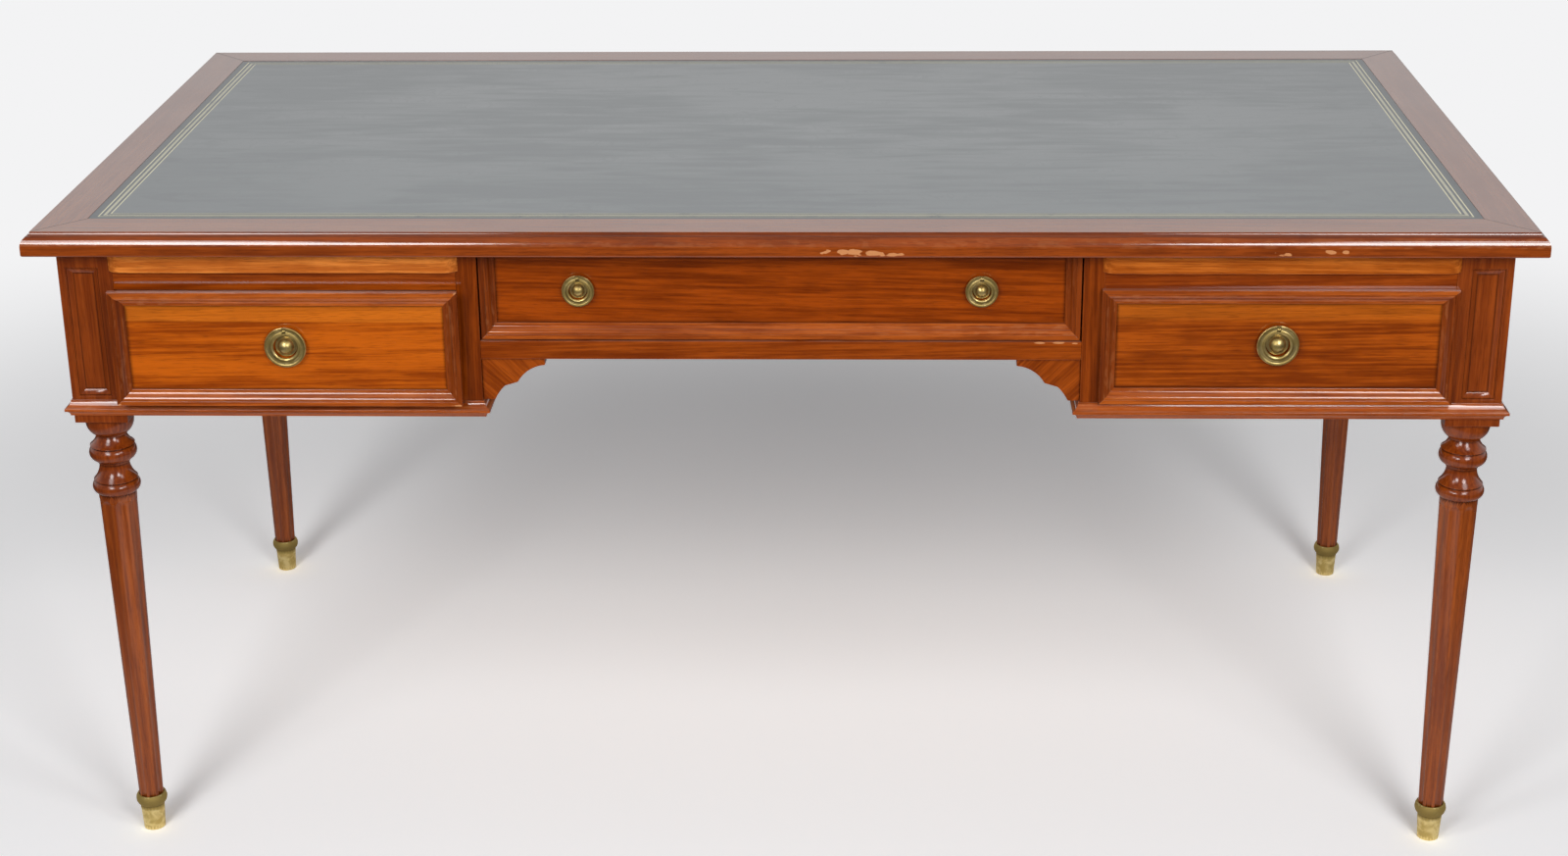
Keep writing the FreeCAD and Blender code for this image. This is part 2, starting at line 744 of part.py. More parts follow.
def make_slides():
    """Writing slides over the side drawers: a board and a lip with rounded ends."""
    back_y = -carcass_y - front_gap
    front_y = back_y - slide_lip_thickness
    board_z = slide_rail_top + running_gap
    board = box(opening_x + side_gap, post_x - side_gap, back_y, back_y + slide_depth,
                board_z, board_z + slide_thickness)
    x0 = opening_x - lip_overlap
    x1 = post_x + lip_overlap
    lip_z = slide_rail_top + front_gap
    run = math.sqrt(slide_lip_thickness * (2 * slide_end_radius - slide_lip_thickness))
    bulge = tangent_bulge(slide_lip_thickness, run)
    plan = [(x0, back_y), (x0 + run, front_y, -bulge), (x1 - run, front_y), (x1, back_y, -bulge)]
    face = outline_face(plan, lambda x, y: Vector(x, y, lip_z))
    lip = face.extrude(Vector(0, 0, carcass_top - slide_top_gap - lip_z))
    save("slide_right_board", board)
    save("slide_right_lip", lip)
    save("slide_left_board", other_side(board))
    save("slide_left_lip", other_side(lip))


os.makedirs("parts", exist_ok=True)
make_top()
make_legs()
make_carcass()
make_plinths()
make_brackets()
make_panel_mouldings()
make_side_drawer("drawer_left", -1, left_drawer_ajar)
make_side_drawer("drawer_right", 1, 0)
make_centre_drawer()
make_slides()
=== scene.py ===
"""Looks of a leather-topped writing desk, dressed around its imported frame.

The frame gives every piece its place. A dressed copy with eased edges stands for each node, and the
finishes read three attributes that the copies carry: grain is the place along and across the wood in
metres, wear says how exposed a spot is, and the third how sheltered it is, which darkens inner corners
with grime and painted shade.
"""

import json
import logging
import math
import random
from abc import ABC, abstractmethod
from dataclasses import dataclass
from enum import Enum, IntEnum
from typing import Any, Callable, ClassVar, Mapping, Optional, Sequence, Union

import bmesh
import bpy
from mathutils import Euler, Matrix, Vector

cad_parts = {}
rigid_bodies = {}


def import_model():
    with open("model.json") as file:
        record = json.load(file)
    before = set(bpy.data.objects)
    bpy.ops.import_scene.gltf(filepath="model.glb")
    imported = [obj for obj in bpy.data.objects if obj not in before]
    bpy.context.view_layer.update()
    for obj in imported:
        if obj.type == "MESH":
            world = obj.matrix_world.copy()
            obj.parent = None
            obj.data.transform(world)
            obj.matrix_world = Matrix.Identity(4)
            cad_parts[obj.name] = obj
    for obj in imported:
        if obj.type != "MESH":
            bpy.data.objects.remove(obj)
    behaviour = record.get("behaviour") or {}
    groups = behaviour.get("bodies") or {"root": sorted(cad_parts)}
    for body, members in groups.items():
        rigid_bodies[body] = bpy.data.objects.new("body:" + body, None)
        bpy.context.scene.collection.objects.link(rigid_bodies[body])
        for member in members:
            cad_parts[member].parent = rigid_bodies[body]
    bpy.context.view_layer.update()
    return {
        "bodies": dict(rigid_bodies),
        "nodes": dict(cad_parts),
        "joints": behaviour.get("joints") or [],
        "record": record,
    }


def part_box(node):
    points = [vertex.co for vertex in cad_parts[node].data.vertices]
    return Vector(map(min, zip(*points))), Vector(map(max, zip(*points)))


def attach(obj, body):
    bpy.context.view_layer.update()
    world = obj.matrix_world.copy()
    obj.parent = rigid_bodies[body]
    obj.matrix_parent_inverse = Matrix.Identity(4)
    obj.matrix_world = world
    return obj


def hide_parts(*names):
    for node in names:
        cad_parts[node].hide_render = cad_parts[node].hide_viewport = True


LOG = logging.getLogger("desk")
MM = 0.001

Colour = tuple[float, float, float, float]
Triple = tuple[float, float, float]
Span = tuple[float, float]
DirtRule = Callable[[bmesh.types.BMFace, Vector], float]


def srgb(red: int, green: int, blue: int) -> Colour:
    """Turn a colour as it is seen on a screen into the linear one that a shader takes.

    Args:
        red: Red from 0 to 255.
        green: Green from 0 to 255.
        blue: Blue from 0 to 255.

    Returns:
        The linear colour with full alpha.
    """
    shares = [value / 255 for value in (red, green, blue)]
    linear = [s / 12.92 if s <= 0.04045 else ((s + 0.055) / 1.055) ** 2.4 for s in shares]
    return (linear[0], linear[1], linear[2], 1.0)


class Grain(Enum):
    """Which way the wood runs in a piece."""

    LONGEST = "longest"
    X = "x"
    Y = "y"
    Z = "z"
    BRACE = "brace"


class Skin(IntEnum):
    """The material indices of the leather."""

    FIELD = 0
    LINE = 1
    ROLL = 2
    MARGIN = 3


@dataclass(frozen=True)
class Cloud:
    """A cloudy pattern: its density to the metre along each axis, finer layers, warp, start and share."""

    density: Triple
    detail: float = 2.0
    warp: float = 0.0
    start: Triple = (0.0, 0.0, 0.0)
    share: float = 1.0
    middle: ClassVar[float] = 0.5


@dataclass(frozen=True)
class Relief:
    """How strongly a fine relief shows, and how deep it is."""

    strength: float
    depth: float


class Wire:
    """The output of a node, on which shader maths is written as a plain expression."""

    def __init__(self, graph: "Graph", socket: bpy.types.NodeSocket) -> None:
        """Keep the graph that the output belongs to, and its socket."""
        self.graph = graph
        self.socket = socket

    def _math(self, operation: str, first: "Operand", second: "Operand" = 0.0) -> "Wire":
        """Add one Math node.

        Args:
            operation: The node's operation.
            first: Its first value.
            second: Its second value.

        Returns:
            The result.
        """
        return self.graph.node("ShaderNodeMath", {"operation": operation}, {0: first, 1: second})

    def __add__(self, other: "Operand") -> "Wire":
        """This plus other."""
        return self._math("ADD", self, other)

    def __radd__(self, other: "Operand") -> "Wire":
        """Other plus this."""
        return self._math("ADD", other, self)

    def __sub__(self, other: "Operand") -> "Wire":
        """This less other."""
        return self._math("SUBTRACT", self, other)

    def __rsub__(self, other: "Operand") -> "Wire":
        """Other less this."""
        return self._math("SUBTRACT", other, self)

    def __mul__(self, other: "Operand") -> "Wire":
        """This times other."""
        return self._math("MULTIPLY", self, other)

    def __rmul__(self, other: "Operand") -> "Wire":
        """Other times this."""
        return self._math("MULTIPLY", other, self)

    def __abs__(self) -> "Wire":
        """This without its sign."""
        return self._math("ABSOLUTE", self)

    def sine(self) -> "Wire":
        """The sine of this."""
        return self._math("SINE", self)

    def least(self, other: "Operand") -> "Wire":
        """The smaller of the two."""
        return self._math("MINIMUM", self, other)

    def most(self, other: "Operand") -> "Wire":
        """The larger of the two."""
        return self._math("MAXIMUM", self, other)

    def rise(self, low: float, high: float) -> "Wire":
        """Climb smoothly from 0 to 1.

        Args:
            low: Where the climb starts.
            high: Where it ends.

        Returns:
            The share of the climb.
        """
        values = {"Value": self, "From Min": low, "From Max": high}
        return self.graph.node("ShaderNodeMapRange", {"interpolation_type": "SMOOTHSTEP"}, values)


Operand = Union[Wire, float]


class Graph:
    """One node tree, built node by node."""

    def __init__(self, tree: bpy.types.NodeTree) -> None:
        """Start from an empty tree."""
        tree.nodes.clear()
        self.tree = tree

    def node(self, kind: str, settings: Optional[Mapping[str, Any]] = None,
             inputs: Optional[Mapping[Union[str, int], Any]] = None, out: Union[str, int] = 0) -> Wire:
        """Add one node.

        Args:
            kind: The node's type.
            settings: Its settings, which are set before its sockets.
            inputs: A value or a wire for each socket that differs from its default.
            out: The output to carry on with.

        Returns:
            That output. A node without outputs gives its first input.
        """
        made = self.tree.nodes.new(kind)
        for name, value in (settings or {}).items():
            setattr(made, name, value)
        for key, value in (inputs or {}).items():
            if isinstance(value, Wire):
                self.tree.links.new(value.socket, made.inputs[key])
            else:
                made.inputs[key].default_value = value
        return Wire(self, made.outputs[out] if made.outputs else made.inputs[0])

    def attribute(self, name: str, out: str = "Fac") -> Wire:
        """Read an attribute of the piece's mesh."""
        return self.node("ShaderNodeAttribute", {"attribute_name": name}, out=out)

    def place(self) -> Wire:
        """The place on the piece, in metres of the shared frame."""
        return self.node("ShaderNodeTexCoord", out="Object")

    def split(self, vector: Wire) -> tuple[Wire, Wire, Wire]:
        """Take a vector apart into its three parts.

        Args:
            vector: The vector.

        Returns:
            Its parts along X, Y and Z.
        """
        first = self.node("ShaderNodeSeparateXYZ", inputs={0: vector})
        rest = first.socket.node.outputs
        return first, Wire(self, rest[1]), Wire(self, rest[2])

    def cloud(self, place: Wire, pattern: Cloud) -> Wire:
        """Read a cloudy pattern.

        Args:
            place: Where it is read, in metres.
            pattern: The pattern.

        Returns:
            Its strength, mostly between 0.3 and 0.7.
        """
        inputs = {"Vector": place, "Scale": pattern.density, "Location": pattern.start}
        spread = self.node("ShaderNodeMapping", inputs=inputs)
        values = {"Vector": spread, "Scale": 1.0, "Detail": pattern.detail, "Distortion": pattern.warp}
        return self.node("ShaderNodeTexNoise", inputs=values)

    def blend(self, share: Operand, first: Union[Wire, Colour], second: Union[Wire, Colour]) -> Wire:
        """Mix two colours, the second by its share."""
        return self.node("ShaderNodeMix", {"data_type": "RGBA"}, {0: share, 6: first, 7: second}, out=2)

    def spot(self, place: Wire, centre: Triple, reach: Triple) -> Wire:
        """A soft spot: 1 at its centre, 0 at its reach along each axis and beyond.

        Args:
            place: Where it is read.
            centre: The spot's centre.
            reach: How far it goes along each axis.

        Returns:
            The strength of the spot.
        """
        away = self.node("ShaderNodeVectorMath", {"operation": "SUBTRACT"}, {0: place, 1: centre})
        scaled = self.node("ShaderNodeVectorMath", {"operation": "DIVIDE"}, {0: away, 1: reach})
        length = self.node("ShaderNodeVectorMath", {"operation": "LENGTH"}, {0: scaled}, out="Value")
        return (1.0 - length).most(0.0)

    def bump(self, height: Wire, relief: Relief) -> Wire:
        """The normal of a surface with this relief."""
        values = {"Height": height, "Strength": relief.strength, "Distance": relief.depth}
        return self.node("ShaderNodeBump", inputs=values, out="Normal")

    def surface(self, values: Mapping[str, Any]) -> None:
        """Finish a material with one Principled shader."""
        shader = self.node("ShaderNodeBsdfPrincipled", inputs=values)
        self.node("ShaderNodeOutputMaterial", inputs={"Surface": shader})


@dataclass(frozen=True)
class Scar:
    """A patch where the polish is chipped or rubbed through."""

    centre: Triple
    reach: Triple


@dataclass(frozen=True)
class Band:
    """A streak of paler wood along the upper edge of a board, with a dark growth line at its foot."""

    low: float
    high: float
    share: float
    line: float


@dataclass(frozen=True)
class Rim:
    """The inner edge of a moulding frame, along which the panel is darkened: grime and painted shade."""

    centre: tuple[float, float]
    half: tuple[float, float]


class Finish(ABC):
    """What a surface is made of and how it is worn."""

    name: str
    slot: ClassVar[str]

    @abstractmethod
    def paint(self, graph: Graph) -> None:
        """Build the finish's nodes.

        Args:
            graph: The empty graph to build in.
        """

    def material(self) -> bpy.types.Material:
        """Find the finish's material, or make it on its first use.

        Returns:
            The material.
        """
        found = bpy.data.materials.get(self.name)
        if found is None:
            found = bpy.data.materials.new(self.name)
            found.use_nodes = True
            self.paint(Graph(found.node_tree))
        return found


@dataclass(frozen=True)
class Mahogany(Finish):
    """French-polished mahogany with fine pores and a soft ribbon figure."""

    name: str
    light: Colour
    dark: Colour
    contrast: float = 0.11
    rubbed: float = 0.14
    soiled: float = 0.55
    dust_and_light: float = 0.4
    polish: float = 1.5
    gloss: float = 0.09
    scars: tuple[Scar, ...] = ()
    bands: tuple[Band, ...] = ()
    rims: tuple[Rim, ...] = ()
    corner: Optional[tuple[float, float]] = None
    slot: ClassVar[str] = "mahogany"
    figure: ClassVar[Cloud] = Cloud((1.3, 13.0, 13.0), warp=0.5, share=0.25)
    ribbons: ClassVar[Cloud] = Cloud((3.0, 72.0, 72.0), warp=0.3, share=0.22)
    lines: ClassVar[Cloud] = Cloud((9.0, 340.0, 340.0), 3.0, share=0.4)
    mottle: ClassVar[Cloud] = Cloud((22.0, 42.0, 42.0), start=(3.0, 1.0, 7.0), share=0.13)
    pores: ClassVar[Cloud] = Cloud((58.0, 1400.0, 1400.0), 1.0, share=0.32)
    flakes: ClassVar[Cloud] = Cloud((70.0, 190.0, 190.0), 3.0, start=(5.0, 2.0, 9.0))
    smears: ClassVar[Cloud] = Cloud((9.0, 9.0, 14.0), 3.0)
    pore_span: ClassVar[Span] = (0.54, 0.7)
    flake_span: ClassVar[Span] = (0.47, 0.62)
    scar_edge: ClassVar[Span] = (0.05, 0.3)
    scar_span: ClassVar[Span] = (0.36, 0.46)
    scar_ragged: ClassVar[float] = 2.4
    scar_share: ClassVar[float] = 0.75
    band_wander: ClassVar[float] = 4 * MM
    line_width: ClassVar[float] = 1.6 * MM
    rim_width: ClassVar[float] = 4 * MM
    crack: ClassVar[Span] = (0.3 * MM, 1.1 * MM)
    dirt_even: ClassVar[float] = 0.6
    dirt_patchy: ClassVar[float] = 0.8
    upward_span: ClassVar[Span] = (0.72, 0.96)
    dust_span: ClassVar[Span] = (0.2, 0.6)
    rough: ClassVar[float] = 0.32
    rough_smears: ClassVar[float] = 0.12
    rough_pores: ClassVar[float] = 0.08
    rough_bare: ClassVar[float] = 0.25
    dulled_bare: ClassVar[float] = 0.7
    dulled_dirt: ClassVar[float] = 0.5
    dulled_smears: ClassVar[float] = 0.1
    raised_lines: ClassVar[float] = 0.25
    sunk_pores: ClassVar[float] = 0.5
    sunk_bare: ClassVar[float] = 1.5
    relief: ClassVar[Relief] = Relief(0.18, 0.4 * MM)
    pale: ClassVar[Colour] = srgb(198, 112, 28)
    # The pale colour of upward faces: dust and painted light.
    dust: ClassVar[Colour] = srgb(168, 124, 104)
    pore: ClassVar[Colour] = srgb(58, 20, 5)
    raw: ClassVar[Colour] = srgb(204, 142, 92)
    # The colour of grime and painted shade in corners and along moulding rims.
    soot: ClassVar[Colour] = srgb(34, 14, 6)

    def paint(self, graph: Graph) -> None:
        """Build ribbon figure, growth lines, pores, rubbed edges, grime and painted shade in corners and
        along rims, dust and painted light on upward faces, and polish.

        Args:
            graph: The empty graph to build in.
        """
        grain = graph.attribute("grain", "Vector")
        place = graph.place()
        figure = graph.cloud(grain, self.figure)
        ribbons = graph.cloud(grain, self.ribbons)
        lines = graph.cloud(grain, self.lines)
        mottle = graph.cloud(grain, self.mottle)
        pores = graph.cloud(grain, self.pores).rise(*self.pore_span)
        tone = figure * self.figure.share + ribbons * self.ribbons.share
        tone = tone + lines * self.lines.share + mottle * self.mottle.share
        tone = tone.rise(Cloud.middle - self.contrast, Cloud.middle + self.contrast)
        across, along, height = graph.split(place)
        colour = graph.blend(tone, self.dark, self.light)
        for band in self.bands:
            level = height + (figure - Cloud.middle) * self.band_wander
            colour = graph.blend(level.rise(band.low, band.high) * band.share, colour, self.pale)
            foot = 1.0 - abs(level - band.low).rise(0.0, self.line_width)
            colour = graph.blend(foot * band.line, colour, self.pore)
        colour = graph.blend(pores * self.pores.share, colour, self.pore)
        flakes = graph.cloud(grain, self.flakes)
        bare = graph.attribute("wear") * flakes.rise(*self.flake_span) * self.rubbed
        for scar in self.scars:
            patch = graph.spot(place, scar.centre, scar.reach)
            ragged = patch.rise(*self.scar_edge) * (patch + (flakes - Cloud.middle) * self.scar_ragged)
            bare = bare.most(ragged.rise(*self.scar_span) * self.scar_share)
        colour = graph.blend(bare, colour, self.raw)
        # Corners and moulding rims are darkened towards soot: grime and painted shade.
        dirt = self.dirt(graph, across, along, height) * (self.dirt_even + mottle * self.dirt_patchy)
        colour = graph.blend(dirt, colour, self.soot)
        # Upward faces are paled towards the dust colour: dust and painted light.
        facing = graph.node("ShaderNodeNewGeometry", out="Normal")
        upward = graph.split(facing)[2].rise(*self.upward_span)
        colour = graph.blend(upward * self.dust_and_light * mottle.rise(*self.dust_span), colour, self.dust)
        smears = graph.cloud(place, self.smears)
        rough = self.rough + smears * self.rough_smears + pores * self.rough_pores + bare * self.rough_bare
        coat = 1.0 - bare * self.dulled_bare - dirt * self.dulled_dirt - smears * self.dulled_smears
        raised = lines * self.raised_lines - pores * self.sunk_pores - bare * self.sunk_bare
        graph.surface({
            "Base Color": colour,
            "Roughness": rough,
            "Specular IOR Level": 0.0,
            "Coat Weight": coat,
            "Coat Roughness": self.gloss,
            "Coat IOR": self.polish,
            "Normal": graph.bump(raised, self.relief),
        })

    def dirt(self, graph: Graph, across: Wire, along: Wire, height: Wire) -> Wire:
        """Gather the darkening of inner corners and of moulding rims, which is grime and painted shade, and
        the dirt of the mitres.

        Args:
            graph: The graph to build in.
            across: The place along the desk.
            along: The place from front to back.
            height: The height above the floor.

        Returns:
            How dark each spot is, from grime and painted shade.
        """
        dirt = graph.attribute("grime_and_shade") * self.soiled
        for rim in self.rims:
            beside = rim.half[0] - abs(across - rim.centre[0])
            inside = beside.least(rim.half[1] - abs(height - rim.centre[1]))
            dirt = dirt.most((1.0 - inside.rise(0.0, self.rim_width)) * self.soiled)
        if self.corner is not None:
            mitre = abs(abs(across) - abs(along) - (self.corner[0] - self.corner[1]))
            dirt = dirt.most(1.0 - mitre.rise(*self.crack))
        return dirt


@dataclass(frozen=True)
class Oak(Finish):
    """Plain oak of the drawer linings and the inner frame, waxed and dusty."""

    name: str
    light: Colour
    dark: Colour
    slot: ClassVar[str] = "oak"
    rings: ClassVar[Cloud] = Cloud((1.6, 52.0, 52.0), 4.0, 0.9, share=0.6)
    lines: ClassVar[Cloud] = Cloud((5.0, 320.0, 320.0), share=0.4)
    pores: ClassVar[Cloud] = Cloud((40.0, 1100.0, 1100.0), 1.0, share=0.4)
    dust: ClassVar[Cloud] = Cloud((7.0, 7.0, 7.0), 4.0, share=0.22)
    pore_span: ClassVar[Span] = (0.5, 0.7)
    tone_span: ClassVar[Span] = (0.4, 0.6)
    dust_span: ClassVar[Span] = (0.5, 0.75)
    soiled: ClassVar[float] = 0.55
    worn: ClassVar[float] = 0.25
    rough: ClassVar[float] = 0.55
    rough_lines: ClassVar[float] = 0.2
    raised_lines: ClassVar[float] = 0.4
    relief: ClassVar[Relief] = Relief(0.3, 0.3 * MM)
    soot: ClassVar[Colour] = srgb(60, 42, 26)

    def paint(self, graph: Graph) -> None:
        """Build growth rings, open pores and old dust.

        Args:
            graph: The empty graph to build in.
        """
        grain = graph.attribute("grain", "Vector")
        rings = graph.cloud(grain, self.rings)
        lines = graph.cloud(grain, self.lines)
        pores = graph.cloud(grain, self.pores).rise(*self.pore_span)
        tone = (rings * self.rings.share + lines * self.lines.share).rise(*self.tone_span)
        colour = graph.blend(tone, self.dark, self.light)
        colour = graph.blend(pores * self.pores.share, colour, self.soot)
        dust = graph.cloud(grain, self.dust).rise(*self.dust_span)
        colour = graph.blend(dust * self.dust.share, colour, self.soot)
        # Inner corners are darkened towards soot: grime and painted shade.
        colour = graph.blend(graph.attribute("grime_and_shade") * self.soiled, colour, self.soot)
        colour = graph.blend(graph.attribute("wear") * self.worn, colour, self.light)
        graph.surface({
            "Base Color": colour,
            "Roughness": self.rough + lines * self.rough_lines,
            "IOR": 1.4,
            "Normal": graph.bump(lines * self.raised_lines - pores, self.relief),
        })


@dataclass(frozen=True)
class Leather(Finish):
    """Slate-green desk leather: fine grain, faint creases, darkened towards its edge."""

    name: str
    hide: Colour
    deep: Colour
    half_length: float
    half_depth: float
    slot: ClassVar[str] = "leather"
    clouds: ClassVar[Cloud] = Cloud((3.2, 6.5, 1.0), 4.0, 0.6, share=0.55)
    streaks: ClassVar[Cloud] = Cloud((9.0, 62.0, 1.0), 3.0, 0.4, (2.0, 5.0, 0.0), 0.45)
    folds: ClassVar[Cloud] = Cloud((26.0, 17.0, 1.0), 5.0, 1.4, (8.0, 3.0, 0.0))
    scuffs: ClassVar[Cloud] = Cloud((14.0, 30.0, 1.0), 5.0, 0.8, (1.0, 7.0, 0.0), 0.3)
    pebbles: ClassVar[float] = 620.0
    tone_span: ClassVar[Span] = (0.39, 0.61)
    tone_low: ClassVar[float] = 0.13
    tone_range: ClassVar[float] = 0.74
    crease_width: ClassVar[float] = 0.035
    crease_span: ClassVar[Span] = (0.5, 0.62)
    crease_share: ClassVar[float] = 0.35
    edge_width: ClassVar[float] = 20 * MM
    edge_share: ClassVar[float] = 0.35
    ends_span: ClassVar[Span] = (0.42, 0.8)
    ends_share: ClassVar[float] = 0.4
    front_span: ClassVar[Span] = (-0.4, 0.05)
    front_share: ClassVar[float] = 0.5
    shade_limit: ClassVar[float] = 0.8
    scuff_span: ClassVar[Span] = (0.56, 0.66)
    scuff_ends: ClassVar[float] = 0.6
    rough: ClassVar[float] = 0.42
    rough_streaks: ClassVar[float] = 0.1
    rough_clouds: ClassVar[float] = 0.08
    raised_pebbles: ClassVar[float] = 0.7
    sunk_creases: ClassVar[float] = 0.5
    raised_streaks: ClassVar[float] = 0.6
    relief: ClassVar[Relief] = Relief(0.16, 0.5 * MM)
    gilt_gloss: ClassVar[float] = 0.08
    gilt_metal: ClassVar[float] = 0.35
    worn: ClassVar[Colour] = srgb(66, 72, 74)
    gold_leaf: ClassVar[Colour] = srgb(238, 230, 188)

    def paint(self, graph: Graph) -> None:
        """Build pebble grain, mottling, creases, the soiled edge and the painted shade at the ends and the
        front.
        """
        self.skin(graph, None)

    def skin(self, graph: Graph, gilding: Optional[Wire]) -> None:
        """Build the leather, with gold on it where gilding is 1.

        Args:
            graph: The graph to build in.
            gilding: How much gold is left at each spot, or None for bare leather.
        """
        place = graph.place()
        across, along, _ = graph.split(place)
        clouds = graph.cloud(place, self.clouds)
        streaks = graph.cloud(place, self.streaks)
        folds = graph.cloud(place, self.folds)
        creases = 1.0 - abs(folds - Cloud.middle).rise(0.0, self.crease_width)
        cells = {"Vector": place, "Scale": self.pebbles}
        pebble = graph.node("ShaderNodeTexVoronoi", inputs=cells, out="Distance")
        tone = (clouds * self.clouds.share + streaks * self.streaks.share).rise(*self.tone_span)
        edge = (self.half_length - abs(across)).least(self.half_depth - abs(along))
        soiled = 1.0 - edge.rise(0.0, self.edge_width)
        ends = abs(across).rise(*self.ends_span)
        front = 1.0 - along.rise(*self.front_span)
        scuffs = graph.cloud(place, self.scuffs).rise(*self.scuff_span)
        colour = graph.blend(self.tone_low + tone * self.tone_range, self.deep, self.hide)
        colour = graph.blend(creases * streaks.rise(*self.crease_span) * self.crease_share, colour, self.deep)
        # Painted shade: the ends and the front of the leather are darkened towards its deep colour.
        shade = (ends * self.ends_share + front * self.front_share).least(self.shade_limit)
        colour = graph.blend(shade, colour, self.deep)
        scuffed = scuffs * (ends * self.scuff_ends + soiled).least(1.0) * self.scuffs.share
        colour = graph.blend(soiled * self.edge_share + scuffed, colour, self.worn)
        roughness = self.rough + streaks * self.rough_streaks + clouds * self.rough_clouds
        raised = pebble * self.raised_pebbles - creases * self.sunk_creases + streaks * self.raised_streaks
        values = {
            "Base Color": colour,
            "Roughness": roughness,
            "IOR": 1.5,
            "Coat Weight": 0.55,
            "Coat Roughness": 0.3,
            "Coat IOR": 1.5,
            "Normal": graph.bump(raised, self.relief),
        }
        if gilding is not None:
            values["Base Color"] = graph.blend(gilding, colour, self.gold_leaf)
            values["Roughness"] = roughness - gilding * self.gilt_gloss
            values["Metallic"] = gilding * self.gilt_metal
        graph.surface(values)


@dataclass(frozen=True)
class Gilding(Leather):
    """Gold lines tooled into the leather, rubbed thin by use."""

    left: float
    beads: float = 0.0
    rubbed: ClassVar[Cloud] = Cloud((22.0, 22.0, 1.0), 4.0, share=0.65)
    specks: ClassVar[Cloud] = Cloud((420.0, 420.0, 1.0), share=0.35)
    handled_width: ClassVar[float] = 40 * MM
    handled_share: ClassVar[float] = 0.03
    gone: ClassVar[float] = 0.1
    whole: ClassVar[float] = 0.05
    bead_span: ClassVar[Span] = (-0.9, 0.5)
    cover: ClassVar[float] = 0.9

    def paint(self, graph: Graph) -> None:
        """Build the gold where it is left on the tooled line.

        Args:
            graph: The empty graph to build in.
        """
        place = graph.place()
        across, along, _ = graph.split(place)
        rubbed = graph.cloud(place, self.rubbed)
        specks = graph.cloud(place, self.specks)
        handled = 1.0 - along.rise(-self.half_depth, self.handled_width - self.half_depth)
        gold = rubbed * self.rubbed.share + specks * self.specks.share - handled * self.handled_share
        gold = gold.rise(self.left - self.gone, self.left + self.whole)
        if self.beads:
            roll = ((across + along) * (2 * math.pi / self.beads)).sine()
            gold = gold * roll.rise(*self.bead_span)
        self.skin(graph, gold * self.cover)


@dataclass(frozen=True)
class Brass(Finish):
    """Old brass, dull in its hollows and bright where hands have rubbed it."""

    name: str
    bright: Colour
    dull: Colour
    roughness: float
    slot: ClassVar[str] = "brass"
    clouds: ClassVar[Cloud] = Cloud((95.0, 95.0, 95.0), 4.0, 0.5)
    grit: ClassVar[Cloud] = Cloud((900.0, 900.0, 900.0))
    tone_span: ClassVar[Span] = (0.36, 0.66)
    worn: ClassVar[float] = 0.3
    tarnished: ClassVar[float] = 0.35
    soiled: ClassVar[float] = 0.6
    rough_dull: ClassVar[float] = 0.14
    rough_grime: ClassVar[float] = 0.25
    rough_grit: ClassVar[float] = 0.06
    raised_clouds: ClassVar[float] = 0.6
    raised_grit: ClassVar[float] = 0.4
    relief: ClassVar[Relief] = Relief(0.1, 0.3 * MM)
    soot: ClassVar[Colour] = srgb(52, 40, 16)

    def paint(self, graph: Graph) -> None:
        """Build the tarnish, the dirt in the hollows and the fine casting grain.

        Args:
            graph: The empty graph to build in.
        """
        place = graph.place()
        clouds = graph.cloud(place, self.clouds)
        grit = graph.cloud(place, self.grit)
        grime_and_shade = graph.attribute("grime_and_shade")
        wear = graph.attribute("wear")
        tone = (clouds + wear * self.worn - grime_and_shade * self.tarnished).rise(*self.tone_span)
        colour = graph.blend(tone, self.dull, self.bright)
        colour = graph.blend(grime_and_shade * self.soiled, colour, self.soot)
        rough = self.roughness + (1.0 - tone) * self.rough_dull
        rough = rough + grime_and_shade * self.rough_grime + grit * self.rough_grit
        graph.surface({
            "Base Color": colour,
            "Metallic": 1.0,
            "Roughness": rough,
            "Normal": graph.bump(clouds * self.raised_clouds + grit * self.raised_grit, self.relief),
        })


NOSE_CHIPS = (
    Scar((0.052, -0.435, 0.7405), (0.009, 0.006, 0.0050)),
    Scar((0.069, -0.435, 0.7405), (0.009, 0.006, 0.0045)),
    Scar((0.083, -0.435, 0.7395), (0.011, 0.006, 0.0065)),
    Scar((0.103, -0.435, 0.7390), (0.018, 0.006, 0.0055)),
    Scar((0.127, -0.435, 0.7378), (0.015, 0.006, 0.0030)),
    Scar((0.537, -0.435, 0.7380), (0.014, 0.006, 0.0048)),
    Scar((0.586, -0.435, 0.7405), (0.010, 0.006, 0.0035)),
    Scar((0.604, -0.435, 0.7405), (0.005, 0.006, 0.0030)),
)
DRAWER_KNOCKS = (
    Scar((-0.3510, -0.4265, 0.6900), (0.006, 0.004, 0.0045)),
    Scar((-0.3502, -0.4265, 0.6400), (0.0014, 0.003, 0.050)),
    Scar((-0.3540, -0.4265, 0.5605), (0.012, 0.004, 0.0022)),
    Scar((-0.7335, -0.4265, 0.5610), (0.006, 0.004, 0.0030)),
)
RAIL_SCRATCHES = (
    Scar((0.284, -0.406, 0.6280), (0.008, 0.004, 0.0014)),
    Scar((0.306, -0.406, 0.6282), (0.010, 0.004, 0.0014)),
    Scar((0.322, -0.406, 0.6276), (0.005, 0.004, 0.0014)),
)
# Rims along which the drawer panels are darkened with grime and painted shade.
LEFT_RIM = Rim((-0.54225, 0.62525), (0.17525, 0.04875))
RIGHT_RIM = Rim((0.54225, 0.62525), (0.17525, 0.04875))
CENTRE_RIM = Rim((0.0, 0.6850), (0.3115, 0.0380))
